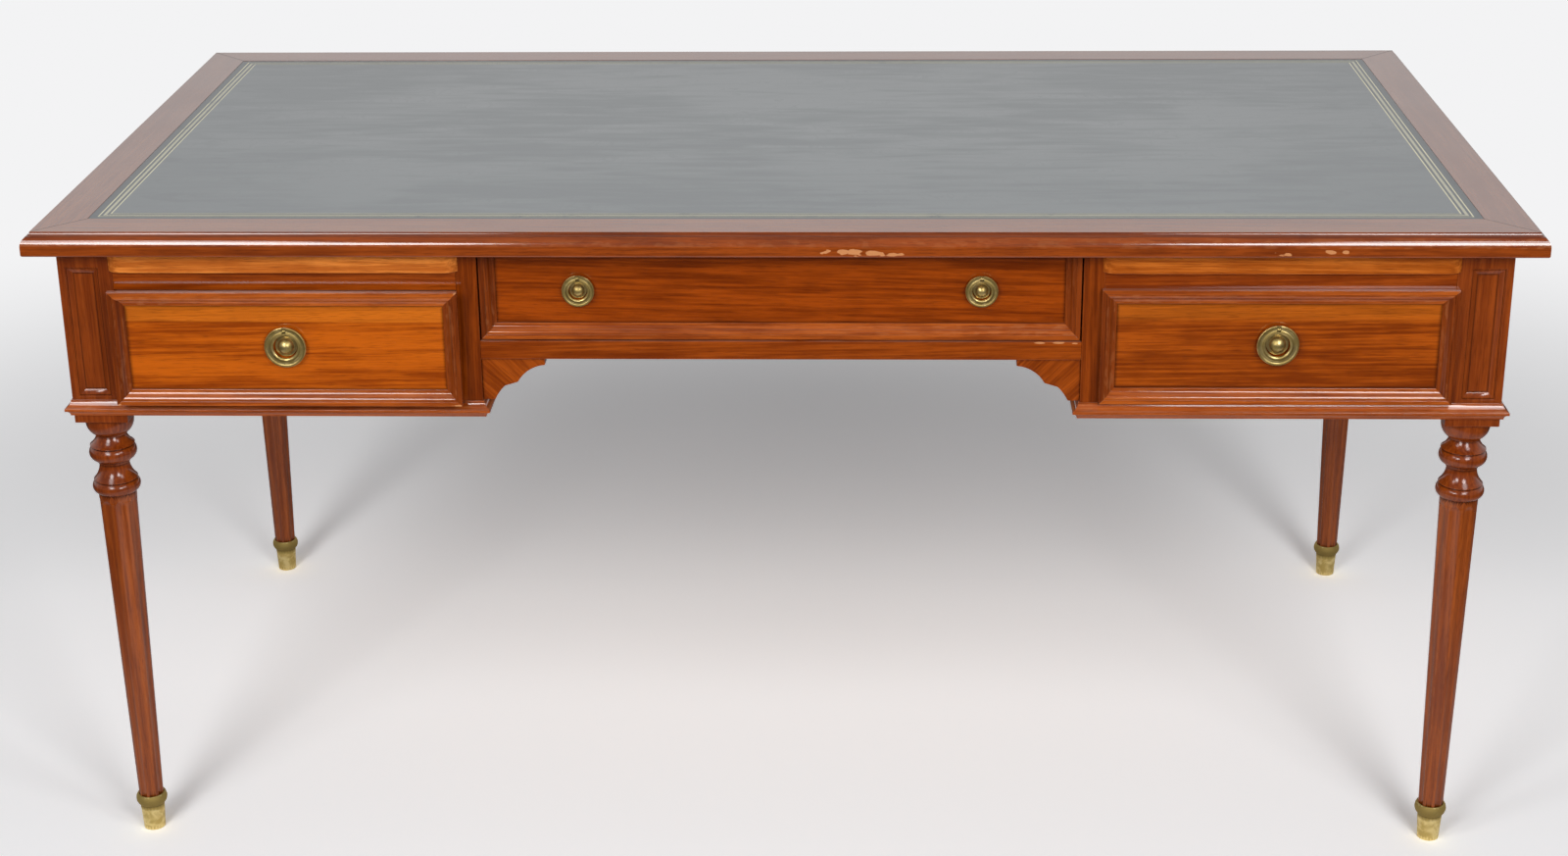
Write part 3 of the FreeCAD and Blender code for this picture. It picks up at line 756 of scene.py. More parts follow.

# The upper faces of the border take paler, greyer wood than the nose: painted sheen, under a clearer polish.
WOOD_TOP_SHEEN = Mahogany("mahogany_top", srgb(158, 94, 56), srgb(130, 68, 36), 0.14,
                    dust_and_light=0.0, polish=2.0, corner=(0.82, 0.435))
WOOD_NOSE = Mahogany("mahogany_nose", srgb(144, 64, 13), srgb(108, 43, 5),
                     dust_and_light=0.0, polish=1.7, scars=NOSE_CHIPS)
WOOD_PANEL = Mahogany("mahogany_panel", srgb(154, 70, 13), srgb(112, 44, 4))
# The left drawer's upward faces, its shaded ledge too, are paled strongly: dust and painted light.
WOOD_LEFT = Mahogany("mahogany_panel_left", srgb(184, 88, 12), srgb(134, 55, 4), 0.1,
                     dust_and_light=0.9, bands=(Band(0.6545, 0.6562, 0.4, 0.28),), rims=(LEFT_RIM,))
WOOD_RIGHT = Mahogany("mahogany_panel_right", srgb(166, 77, 12), srgb(114, 45, 4), 0.1,
                      bands=(Band(0.6500, 0.6600, 0.25, 0.1),), rims=(RIGHT_RIM,))
WOOD_CENTRE = Mahogany("mahogany_panel_centre", srgb(150, 64, 6), srgb(106, 39, 1), 0.1, rims=(CENTRE_RIM,))
# The drawers' lying moulding strips take this paler tone, as WOOD_KNOCKED does, as painted light; their
# upright strips take the darker copy below as painted shade.
WOOD_MOULDING = Mahogany("mahogany_moulding", srgb(172, 84, 24), srgb(128, 54, 11), polish=1.6)
WOOD_KNOCKED = Mahogany("mahogany_moulding_left", srgb(172, 84, 24), srgb(128, 54, 11), polish=1.6,
                        scars=DRAWER_KNOCKS)
WOOD_UPRIGHT_SHADED = Mahogany("mahogany_moulding_upright", srgb(130, 57, 13), srgb(92, 35, 5), polish=1.6)
WOOD_FRAME = Mahogany("mahogany_frame", srgb(156, 71, 14), srgb(114, 44, 5))
WOOD_BOARD = Mahogany("mahogany_board", srgb(156, 71, 14), srgb(114, 44, 5), 0.14, dust_and_light=0.0)
WOOD_RAIL = Mahogany("mahogany_rail", srgb(148, 66, 11), srgb(108, 41, 3), scars=RAIL_SCRATCHES)
WOOD_STILE = Mahogany("mahogany_stile", srgb(138, 60, 10), srgb(98, 37, 3))
WOOD_PLINTH = Mahogany("mahogany_plinth", srgb(166, 80, 28), srgb(122, 51, 12), polish=1.6)
WOOD_LIP_LEFT = Mahogany("mahogany_lip_left", srgb(224, 134, 55), srgb(176, 92, 30), 0.09)
WOOD_LIP_RIGHT = Mahogany("mahogany_lip_right", srgb(198, 108, 34), srgb(153, 73, 15), 0.09)
# The post and knobs take the darker copy and the fluted shaft the paler one below: painted shade and painted
# light.
WOOD_LEG = Mahogany("mahogany_leg", srgb(142, 64, 16), srgb(102, 39, 6), 0.14,
                    soiled=0.8, dust_and_light=0.0, gloss=0.16)
WOOD_SHAFT_LIT = Mahogany("mahogany_shaft_lit", srgb(156, 76, 22), srgb(116, 49, 10), 0.14,
                      soiled=0.8, dust_and_light=0.0, gloss=0.16)
OAK_LINING = Oak("oak_lining", srgb(196, 152, 98), srgb(160, 114, 66))
OAK_FRAME = Oak("oak_frame", srgb(168, 124, 76), srgb(124, 84, 46))
BRASS_PULL = Brass("brass_pull", srgb(222, 198, 136), srgb(162, 140, 84), roughness=0.3)
BRASS_SABOT = Brass("brass_sabot", srgb(250, 228, 160), srgb(212, 186, 112), roughness=0.34)
HIDE_FIELD = (srgb(148, 152, 153), srgb(110, 115, 117))
HIDE_MARGIN = (srgb(98, 103, 105), srgb(78, 83, 85))


@dataclass(frozen=True)
class Ease:
    """How sharp outer edges between two heights are rounded. Edges shorter than shortest are left."""

    width: float
    low: float = -1.0
    high: float = 2.0
    shortest: float = 3 * MM
    segments: int = 2
    sharp: float = math.radians(32)

    def cut(self, bm: bmesh.types.BMesh) -> None:
        """Round the edges of a mesh.

        Args:
            bm: The mesh to change.
        """
        edges = [e for e in bm.edges if self._takes(e)]
        bmesh.ops.bevel(bm, geom=edges, offset=self.width, offset_type="OFFSET", segments=self.segments,
                        profile=0.5, affect="EDGES", clamp_overlap=True, material=-1, loop_slide=True)

    def _takes(self, edge: bmesh.types.BMEdge) -> bool:
        """Tell whether an edge is sharp, points outwards, is long enough and lies between the heights.

        Args:
            edge: The edge.

        Returns:
            Whether it is to be rounded.
        """
        if len(edge.link_faces) != 2 or edge.calc_face_angle_signed(0.0) < self.sharp:
            return False
        height = (edge.verts[0].co.z + edge.verts[1].co.z) / 2
        return self.low < height < self.high and edge.calc_length() > self.shortest


class Workshop:
    """Makes dressed copies of the frame's nodes and hangs them on their bodies."""

    merge: ClassVar[float] = 2e-6
    flat: ClassVar[float] = math.radians(0.08)
    worn_from: ClassVar[float] = math.radians(25)
    worn_to: ClassVar[float] = math.radians(42)
    worn_width: ClassVar[float] = 0.9 * MM
    grime_and_shade_from: ClassVar[float] = math.radians(15)
    grime_and_shade_to: ClassVar[float] = math.radians(32)
    dirt_width: ClassVar[float] = 2.2 * MM
    grime_and_shade_width: ClassVar[float] = 3 * MM
    lean: ClassVar[float] = 0.025
    log_size: ClassVar[float] = 9.0
    smooth_limit: ClassVar[float] = math.radians(30)
    round_limit: ClassVar[float] = math.radians(50)

    def __init__(self, frame: Mapping[str, Any]) -> None:
        """Note which body carries each node.
        """
        self.nodes = frame["nodes"]
        groups = frame["record"]["behaviour"]["bodies"]
        self.body_of = {node: body for body, members in groups.items() for node in members}

    def copy_of(self, node: str) -> bmesh.types.BMesh:
        """Copy a node's mesh, merged solid by solid and with its flat faces whole.

        Args:
            node: The node's name.

        Returns:
            The copy.
        """
        bm = bmesh.new()
        bm.from_mesh(self.nodes[node].data)
        for shell in self.shells(bm):
            verts = list(dict.fromkeys(vert for face in shell for vert in face.verts))
            bmesh.ops.remove_doubles(bm, verts=verts, dist=self.merge)
        bmesh.ops.dissolve_limit(bm, angle_limit=self.flat, verts=bm.verts, edges=bm.edges, delimit=set())
        return bm

    def shells(self, bm: bmesh.types.BMesh) -> list[list[bmesh.types.BMFace]]:
        """Part an unmerged mesh into its solids, which touch: a solid ends where its surface has closed.

        Args:
            bm: The mesh.

        Returns:
            The faces of each solid.
        """
        found: list[list[bmesh.types.BMFace]] = [[]]
        unmatched: set[tuple[Any, Any]] = set()
        for face in bm.faces:
            corners = [vert.co.to_tuple() for vert in face.verts]
            for near, far in zip(corners, corners[1:] + corners[:1]):
                if (far, near) in unmatched:
                    unmatched.remove((far, near))
                else:
                    unmatched.add((near, far))
            found[-1].append(face)
            if not unmatched:
                found.append([])
        return [shell for shell in found if shell]

    def islands(self, bm: bmesh.types.BMesh) -> list[list[bmesh.types.BMVert]]:
        """Group a mesh's vertices by the separate solids that they belong to.

        Args:
            bm: The mesh.

        Returns:
            The vertices of each solid.
        """
        seen: set[int] = set()
        groups = []
        bm.verts.index_update()
        for first in bm.verts:
            if first.index in seen:
                continue
            seen.add(first.index)
            group, waiting = [], [first]
            while waiting:
                vert = waiting.pop()
                group.append(vert)
                for edge in vert.link_edges:
                    other = edge.other_vert(vert)
                    if other.index not in seen:
                        seen.add(other.index)
                        waiting.append(other)
            groups.append(group)
        return groups

    def lay_grain(self, bm: bmesh.types.BMesh, node: str, way: Grain) -> None:
        """Give each solid its own wood: where every vertex lies along and across its grain.

        Args:
            bm: The mesh to mark.
            node: The node's name, which seeds the choice of wood.
            way: The way that the grain runs.
        """
        layer = bm.verts.layers.float_vector.new("grain")
        draw = random.Random(node)
        turns = {"x": Matrix.Identity(3), "y": Matrix.Rotation(-math.pi / 2, 3, "Z"),
                 "z": Matrix.Rotation(math.pi / 2, 3, "Y")}
        for group in self.islands(bm):
            spans = [max(v.co[i] for v in group) - min(v.co[i] for v in group) for i in range(3)]
            middle = sum((v.co for v in group), Vector()) / len(group)
            if way is Grain.LONGEST:
                turn = turns["xyz"[spans.index(max(spans))]]
            elif way is Grain.BRACE:
                turn = Matrix.Rotation(math.copysign(math.pi / 4, middle.x), 3, "Y")
            else:
                turn = turns[way.value]
            shift = Vector([draw.uniform(0.0, self.log_size) for _ in range(3)])
            rises = [draw.uniform(-self.lean, self.lean) for _ in range(2)]
            turn = Euler((0.0, rises[0], rises[1])).to_matrix() @ turn
            for vert in group:
                vert[layer] = turn @ vert.co + shift

    def line_hollows(self, bm: bmesh.types.BMesh) -> None:
        """Give the floor of every sunk panel a narrow rim, so that the darkening of its corners, grime and
        painted shade, stays in them.

        Args:
            bm: The mesh to change.
        """
        inner = {edge for edge in bm.edges
                 if edge.is_manifold and edge.calc_face_angle_signed(0.0) < -self.worn_from}
        floors = [face for face in bm.faces if all(edge in inner for edge in face.edges)]
        bmesh.ops.inset_individual(bm, faces=floors, thickness=self.dirt_width, use_even_offset=True)

    def mark_edges(self, bm: bmesh.types.BMesh) -> None:
        """Mark exposed strips as worn, and inner corners as grimy and shaded, which is grime and painted
        shade.

        Args:
            bm: The mesh to mark.
        """
        wear = bm.loops.layers.float.new("wear")
        grime_and_shade = bm.loops.layers.float.new("grime_and_shade")
        bm.normal_update()
        for face in bm.faces:
            width = self.width(face)
            for loop in face.loops:
                angles = [e.calc_face_angle_signed(0.0) for e in (loop.edge, loop.link_loop_prev.edge)
                          if len(e.link_faces) == 2 and e.calc_length() > self.worn_width]
                out = (max(angles, default=0.0) - self.worn_from) / (self.worn_to - self.worn_from)
                # Inner corners take the grime mark: grime and painted shade.
                inward = (-min(angles, default=0.0) - self.grime_and_shade_from) / (self.grime_and_shade_to - self.grime_and_shade_from)
                loop[wear] = min(max(out, 0.0), 1.0) if width < self.worn_width else 0.0
                loop[grime_and_shade] = min(max(inward, 0.0), 1.0) if width < self.grime_and_shade_width else 0.0

    def soil(self, bm: bmesh.types.BMesh, rule: DirtRule) -> None:
        """Raise the darkening mark of every corner of a mesh to at least what a rule says.

        Args:
            bm: The mesh, with its edges marked.
            rule: Gives the darkening for a face and the place of one of its corners.
        """
        grime_and_shade = bm.loops.layers.float["grime_and_shade"]
        for face in bm.faces:
            for loop in face.loops:
                loop[grime_and_shade] = max(loop[grime_and_shade], rule(face, loop.vert.co))

    def width(self, face: bmesh.types.BMFace) -> float:
        """How wide a face is, if it is a long one."""
        return 2 * face.calc_area() / max(face.calc_perimeter(), self.merge)

    def crease(self, bm: bmesh.types.BMesh) -> None:
        """Shade corners sharp and curves smooth. A rounded edge is smooth across its narrow faces.

        Args:
            bm: The mesh to mark.
        """
        for edge in bm.edges:
            eased = all(self.width(face) < self.worn_width for face in edge.link_faces)
            limit = self.round_limit if eased else self.smooth_limit
            edge.smooth = edge.calc_face_angle(math.pi) < limit

    def finish(self, bm: bmesh.types.BMesh, node: str, finishes: Sequence[Finish]) -> bpy.types.Object:
        """Turn a mesh into the piece that stands for a node.

        Args:
            bm: The finished mesh, which is freed.
            node: The node that the piece replaces.
            finishes: One finish for each material index.

        Returns:
            The piece.
        """
        mesh = bpy.data.meshes.new(node + "_finished")
        self.crease(bm)
        bm.to_mesh(mesh)
        bm.free()
        for finish in finishes:
            mesh.materials.append(finish.material())
        for name in ("custom_normal", "sharp_face"):
            if name in mesh.attributes:
                mesh.attributes.remove(mesh.attributes[name])
        piece = bpy.data.objects.new(mesh.name, mesh)
        bpy.context.scene.collection.objects.link(piece)
        weighted = piece.modifiers.new("flat_faces", "WEIGHTED_NORMAL")
        weighted.keep_sharp = True
        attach(piece, self.body_of[node])
        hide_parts(node)
        LOG.info("%s: %d faces on %s", piece.name, len(mesh.polygons), self.body_of[node])
        return piece

    def prepare(self, node: str, way: Grain, eases: Sequence[Ease]) -> bmesh.types.BMesh:
        """Copy a node, ease its edges, lay its grain and mark its wear and dirt.

        Args:
            node: The node's name.
            way: The way that its grain runs.
            eases: The edges to round, in order.

        Returns:
            The mesh, ready for its finish.
        """
        bm = self.copy_of(node)
        for ease in eases:
            ease.cut(bm)
        self.line_hollows(bm)
        self.lay_grain(bm, node, way)
        self.mark_edges(bm)
        return bm

    def dress(self, node: str, finish: Finish, way: Grain = Grain.LONGEST,
              eases: Sequence[Ease] = (Ease(0.6 * MM),)) -> bpy.types.Object:
        """Stand a dressed copy in for a node.

        Args:
            node: The node's name.
            finish: What it is made of.
            way: The way that its grain runs.
            eases: The edges to round, in order.

        Returns:
            The piece.
        """
        return self.finish(self.prepare(node, way, eases), node, [finish])


@dataclass
class Desktop:
    """The top: mitred border boards, core board, glue blocks and tooled leather."""

    shop: Workshop
    nose_ease: float = 0.2 * MM
    leather_ease: float = 0.3 * MM
    tool_depth: float = 0.12 * MM
    tool_slope: float = 0.12 * MM
    first_line: float = 8.6 * MM
    thin_line: float = 1.6 * MM
    line_gap: float = 2.8 * MM
    middle_line: float = 3.4 * MM
    bead_pitch: float = 3.4 * MM
    line_gold: float = 0.38
    roll_gold: float = 0.36
    rim_angle: float = 1.0
    cove_low: float = 0.7550
    cove_high: float = 0.7597
    cove_grime_and_shade: float = 0.5

    def build(self) -> bpy.types.Object:
        """Build every piece of the top.

        Returns:
            The leather.
        """
        for side, way in (("front", Grain.X), ("back", Grain.X), ("left", Grain.Y), ("right", Grain.Y)):
            self.border("top_border_" + side, way)
        self.shop.dress("top_core", OAK_FRAME, Grain.X)
        self.shop.dress("top_blocks", OAK_FRAME)
        return self.leather()

    def border(self, node: str, way: Grain) -> bpy.types.Object:
        """Build one border board, whose upper face has a clearer polish and paler, greyer wood as painted
        sheen, with painted shade in its cove.

        Args:
            node: The board's node.
            way: The way that its grain runs.

        Returns:
            The piece.
        """
        bm = self.shop.prepare(node, way, (Ease(self.nose_ease),))
        level = max(vert.co.z for vert in bm.verts) - self.nose_ease / 2
        for face in bm.faces:
            # Upper faces take the paler, greyer top finish: painted sheen.
            face.material_index = int(min(vert.co.z for vert in face.verts) > level)
        # The cove is darkened: painted shade and grime.
        self.shop.soil(bm, self.dirt)
        return self.shop.finish(bm, node, [WOOD_NOSE, WOOD_TOP_SHEEN])

    def dirt(self, face: bmesh.types.BMFace, _: Vector) -> float:
        """The painted shade and grime in the cove of a border board."""
        heights = [vert.co.z for vert in face.verts]
        return self.cove_grime_and_shade if min(heights) > self.cove_low and max(heights) < self.cove_high else 0.0

    def leather(self) -> bpy.types.Object:
        """Build the leather field with three tooled lines round it.

        Returns:
            The piece.
        """
        low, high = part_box("top_leather")
        bm = bmesh.new()
        bmesh.ops.create_cube(bm, size=1.0)
        bmesh.ops.scale(bm, vec=high - low, verts=bm.verts)
        bmesh.ops.translate(bm, vec=(low + high) / 2, verts=bm.verts)
        field = max(bm.faces, key=lambda face: face.calc_center_median().z)
        rims = [(self.first_line, Skin.MARGIN), (self.thin_line, Skin.LINE), (self.line_gap, Skin.MARGIN),
                (self.middle_line, Skin.ROLL), (self.line_gap, Skin.MARGIN), (self.thin_line, Skin.LINE)]
        for width, skin in rims:
            tooled = skin is not Skin.MARGIN
            if tooled:
                self._inset(bm, field, self.tool_slope, -self.tool_depth, Skin.MARGIN)
            self._inset(bm, field, width, 0.0, skin)
            if tooled:
                self._inset(bm, field, self.tool_slope, self.tool_depth, Skin.MARGIN)
        upper = [edge for edge in bm.edges if edge.calc_face_angle_signed(0.0) > self.rim_angle
                 and min(vert.co.z for vert in edge.verts) > low.z]
        bmesh.ops.bevel(bm, geom=upper, offset=self.leather_ease, offset_type="OFFSET", segments=2,
                        profile=0.5, affect="EDGES", clamp_overlap=True, material=-1)
        self.shop.mark_edges(bm)
        reach = (high.x, high.y)
        skins = {
            Skin.FIELD: Leather("leather_field", *HIDE_FIELD, *reach),
            Skin.LINE: Gilding("leather_gilt_line", *HIDE_FIELD, *reach, self.line_gold),
            Skin.ROLL: Gilding("leather_gilt_roll", *HIDE_FIELD, *reach, self.roll_gold, self.bead_pitch),
            Skin.MARGIN: Leather("leather_margin", *HIDE_MARGIN, *reach),
        }
        return self.shop.finish(bm, "top_leather", [skins[skin] for skin in Skin])

    def _inset(self, bm: bmesh.types.BMesh, field: bmesh.types.BMFace, width: float, rise: float,
               skin: Skin) -> None:
        """Draw the field in by one rim, and give the rim its material.

        Args:
            bm: The mesh.
            field: The face that shrinks.
            width: The rim's width.
            rise: How far the field goes up, or down if negative.
            skin: The rim's material.
        """
        made = bmesh.ops.inset_individual(bm, faces=[field], thickness=width, depth=rise,
                                          use_even_offset=True)
        for face in made["faces"]:
            face.material_index = skin


@dataclass
class Legs:
    """Four turned and fluted legs with their brass sabots."""

    shop: Workshop
    block_foot: float = 0.531
    post_ease: float = 0.7 * MM
    post_edge: float = 20 * MM
    turned_ease: float = 0.4 * MM
    turned_foot: float = 0.438
    turned_edge: float = 1 * MM
    ring_from: float = 0.032
    ring_dirt: float = 0.8

    def build(self) -> None:
        """Build the legs and the sabots."""
        eases = (Ease(self.post_ease, low=self.block_foot - MM, shortest=self.post_edge),
                 Ease(self.turned_ease, self.turned_foot, self.block_foot - MM, self.turned_edge))
        for end in ("front", "back"):
            for side in ("left", "right"):
                self.leg(f"leg_{end}_{side}", eases)
        self.sabots()

    def leg(self, node: str, eases: Sequence[Ease]) -> bpy.types.Object:
        """Build one leg, whose fluted shaft takes a paler copy of its post's wood: painted light on the
        shaft, painted shade on the post and knobs.

        Args:
            node: The leg's node.
            eases: The edges to round, in order.

        Returns:
            The piece.
        """
        bm = self.shop.prepare(node, Grain.Z, eases)
        for face in bm.faces:
            face.material_index = int(max(vert.co.z for vert in face.verts) < self.turned_foot)
        return self.shop.finish(bm, node, [WOOD_LEG, WOOD_SHAFT_LIT])

    def sabots(self) -> bpy.types.Object:
        """Build the sabots, with dirt at the ring.

        Returns:
            The piece.
        """
        bm = self.shop.copy_of("sabots")
        self.shop.mark_edges(bm)
        self.shop.soil(bm, self.dirt)
        return self.shop.finish(bm, "sabots", [BRASS_SABOT])

    def dirt(self, _: bmesh.types.BMFace, place: Vector) -> float:
        """The dirt at the ring of a sabot."""
        return self.ring_dirt if place.z > self.ring_from else 0.0


@dataclass
class Carcass:
    """Panels, stiles, rails, brackets and mouldings, and the oak frame inside."""

    shop: Workshop
    board_ease: float = 0.7 * MM
    moulding_ease: float = 0.3 * MM
    gap_from: float = 0.350
    gap_to: float = 0.7345
    gap_front: float = -0.405
    gap_foot: float = 0.5570

    def build(self) -> None:
        """Build every fixed piece between the top and the legs."""
        board = (Ease(self.board_ease),)
        for side in ("left", "right"):
            self.shop.dress(f"side_panel_{side}", WOOD_PANEL, Grain.Y, board)
            self.shop.dress(f"kneehole_panel_{side}", WOOD_FRAME, Grain.Y, board)
            self.shop.dress(f"front_stile_{side}", WOOD_STILE, Grain.Z, board)
            self.shop.dress(f"back_panel_{side}", WOOD_PANEL, Grain.X, board)
            self.plinth(f"plinth_moulding_{side}")
        boards = (
            ("back_panel_centre", WOOD_PANEL, Grain.X), ("back_stiles", WOOD_STILE, Grain.Z),
            ("front_rails_upper", WOOD_FRAME, Grain.X), ("front_rails_lower", WOOD_FRAME, Grain.X),
            ("kneehole_rail_front", WOOD_RAIL, Grain.X), ("kneehole_rail_back", WOOD_FRAME, Grain.X),
            ("brackets", WOOD_PANEL, Grain.BRACE),
        )
        for node, finish, way in boards:
            self.shop.dress(node, finish, way, board)
        self.shop.dress("panel_mouldings", WOOD_MOULDING, Grain.LONGEST, (Ease(self.moulding_ease),))
        for node in ("pedestal_floors", "drawer_guides", "slide_bearers", "centre_runners"):
            self.shop.dress(node, OAK_FRAME, Grain.Y)

    def plinth(self, node: str) -> bpy.types.Object:
        """Build one plinth moulding, with a painted shadow line in the gap under its drawer.

        Args:
            node: The moulding's node.

        Returns:
            The piece.
        """
        bm = self.shop.prepare(node, Grain.LONGEST, (Ease(self.moulding_ease),))
        for end in (-self.gap_to, -self.gap_from, self.gap_from, self.gap_to):
            geom = [*bm.verts, *bm.edges, *bm.faces]
            bmesh.ops.bisect_plane(bm, geom=geom, dist=self.shop.merge, plane_co=(end, 0.0, 0.0),
                                   plane_no=(1.0, 0.0, 0.0))
        # Painted shadow: a dark line on the plinth's top under each drawer.
        self.shop.soil(bm, self.dirt)
        return self.shop.finish(bm, node, [WOOD_PLINTH])

    def dirt(self, face: bmesh.types.BMFace, _: Vector) -> float:
        """The painted shadow in the gap under a drawer."""
        x, y, z = face.calc_center_median()
        return float(self.gap_from < abs(x) < self.gap_to and y < self.gap_front and z > self.gap_foot)


@dataclass
class RingPull:
    """The ring of one pull, and the radii of its bead and its rim, with the dished band between them."""

    shop: Workshop
    ring: str
    bead: float
    rim: float
    dirt: float = 0.8
    dirt_width: float = 1.6 * MM

    def build(self) -> bpy.types.Object:
        """Build the ring, with dirt in its dished band.

        Returns:
            The piece.
        """
        low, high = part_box(self.ring)
        centre = (low + high) / 2
        bm = self.shop.copy_of(self.ring)
        self.shop.mark_edges(bm)
        self.shop.soil(bm, lambda _, place: self.dirt_at(place - centre))
        return self.shop.finish(bm, self.ring, [BRASS_PULL])

    def dirt_at(self, away: Vector) -> float:
        """The dirt by the two edges of the dished band, this far from the ring's centre."""
        radius = math.hypot(away.x, away.z)
        return self.dirt - min(abs(radius - self.bead), abs(radius - self.rim)) / self.dirt_width


@dataclass
class Drawer:
    """One drawer: front, moulding, oak box and bottom, and its pulls."""

    shop: Workshop
    name: str
    panel: Finish
    moulding: Finish
    pulls: tuple[RingPull, ...]
    board_ease: float = 0.6 * MM
    moulding_ease: float = 0.45 * MM

    def build(self) -> None:
        """Build every piece of the drawer."""
        board = (Ease(self.board_ease),)
        self.shop.dress(self.name + "_front", self.panel, Grain.X, board)
        self.frame()
        self.shop.dress(self.name + "_box", OAK_LINING, Grain.LONGEST, board)
        self.shop.dress(self.name + "_bottom", OAK_LINING, Grain.X, board)
        for node in ("_pull_plate", "_pull_button"):
            self.shop.dress(self.name + node, BRASS_PULL, Grain.X, ())
        for pull in self.pulls:
            pull.build()

    def frame(self) -> bpy.types.Object:
        """Build the applied moulding, whose upright strips take a darker copy of its wood as painted shade,
        while its lying strips keep the paler tone as painted light.

        Returns:
            The piece.
        """
        node = self.name + "_moulding"
        bm = self.shop.prepare(node, Grain.LONGEST, (Ease(self.moulding_ease),))
        for strip in self.shop.islands(bm):
            wide, tall = (max(v.co[i] for v in strip) - min(v.co[i] for v in strip) for i in (0, 2))
            for face in {face for vert in strip for face in vert.link_faces}:
                # Upright strips get the darker copy: painted shade.
                face.material_index = int(tall > wide)
        return self.shop.finish(bm, node, [self.moulding, WOOD_UPRIGHT_SHADED])


@dataclass
class WritingSlide:
    """One pull-out writing slide: its board and its lip."""

    shop: Workshop
    side: str
    lip: Finish
    board_ease: float = 0.8 * MM
    lip_edge: float = 1 * MM

    def build(self) -> None:
        """Build the board and the lip."""
        self.shop.dress(f"slide_{self.side}_board", WOOD_BOARD, Grain.Y, (Ease(self.board_ease),))
        self.shop.dress(f"slide_{self.side}_lip", self.lip, Grain.X,
                        (Ease(self.board_ease, shortest=self.lip_edge),))


@dataclass(frozen=True)
class Lamp:
    """A pair of soft lamps, one each side: where the right one hangs, how wide it is and its power."""

    label: str
    place: Triple
    size: float
    power: float


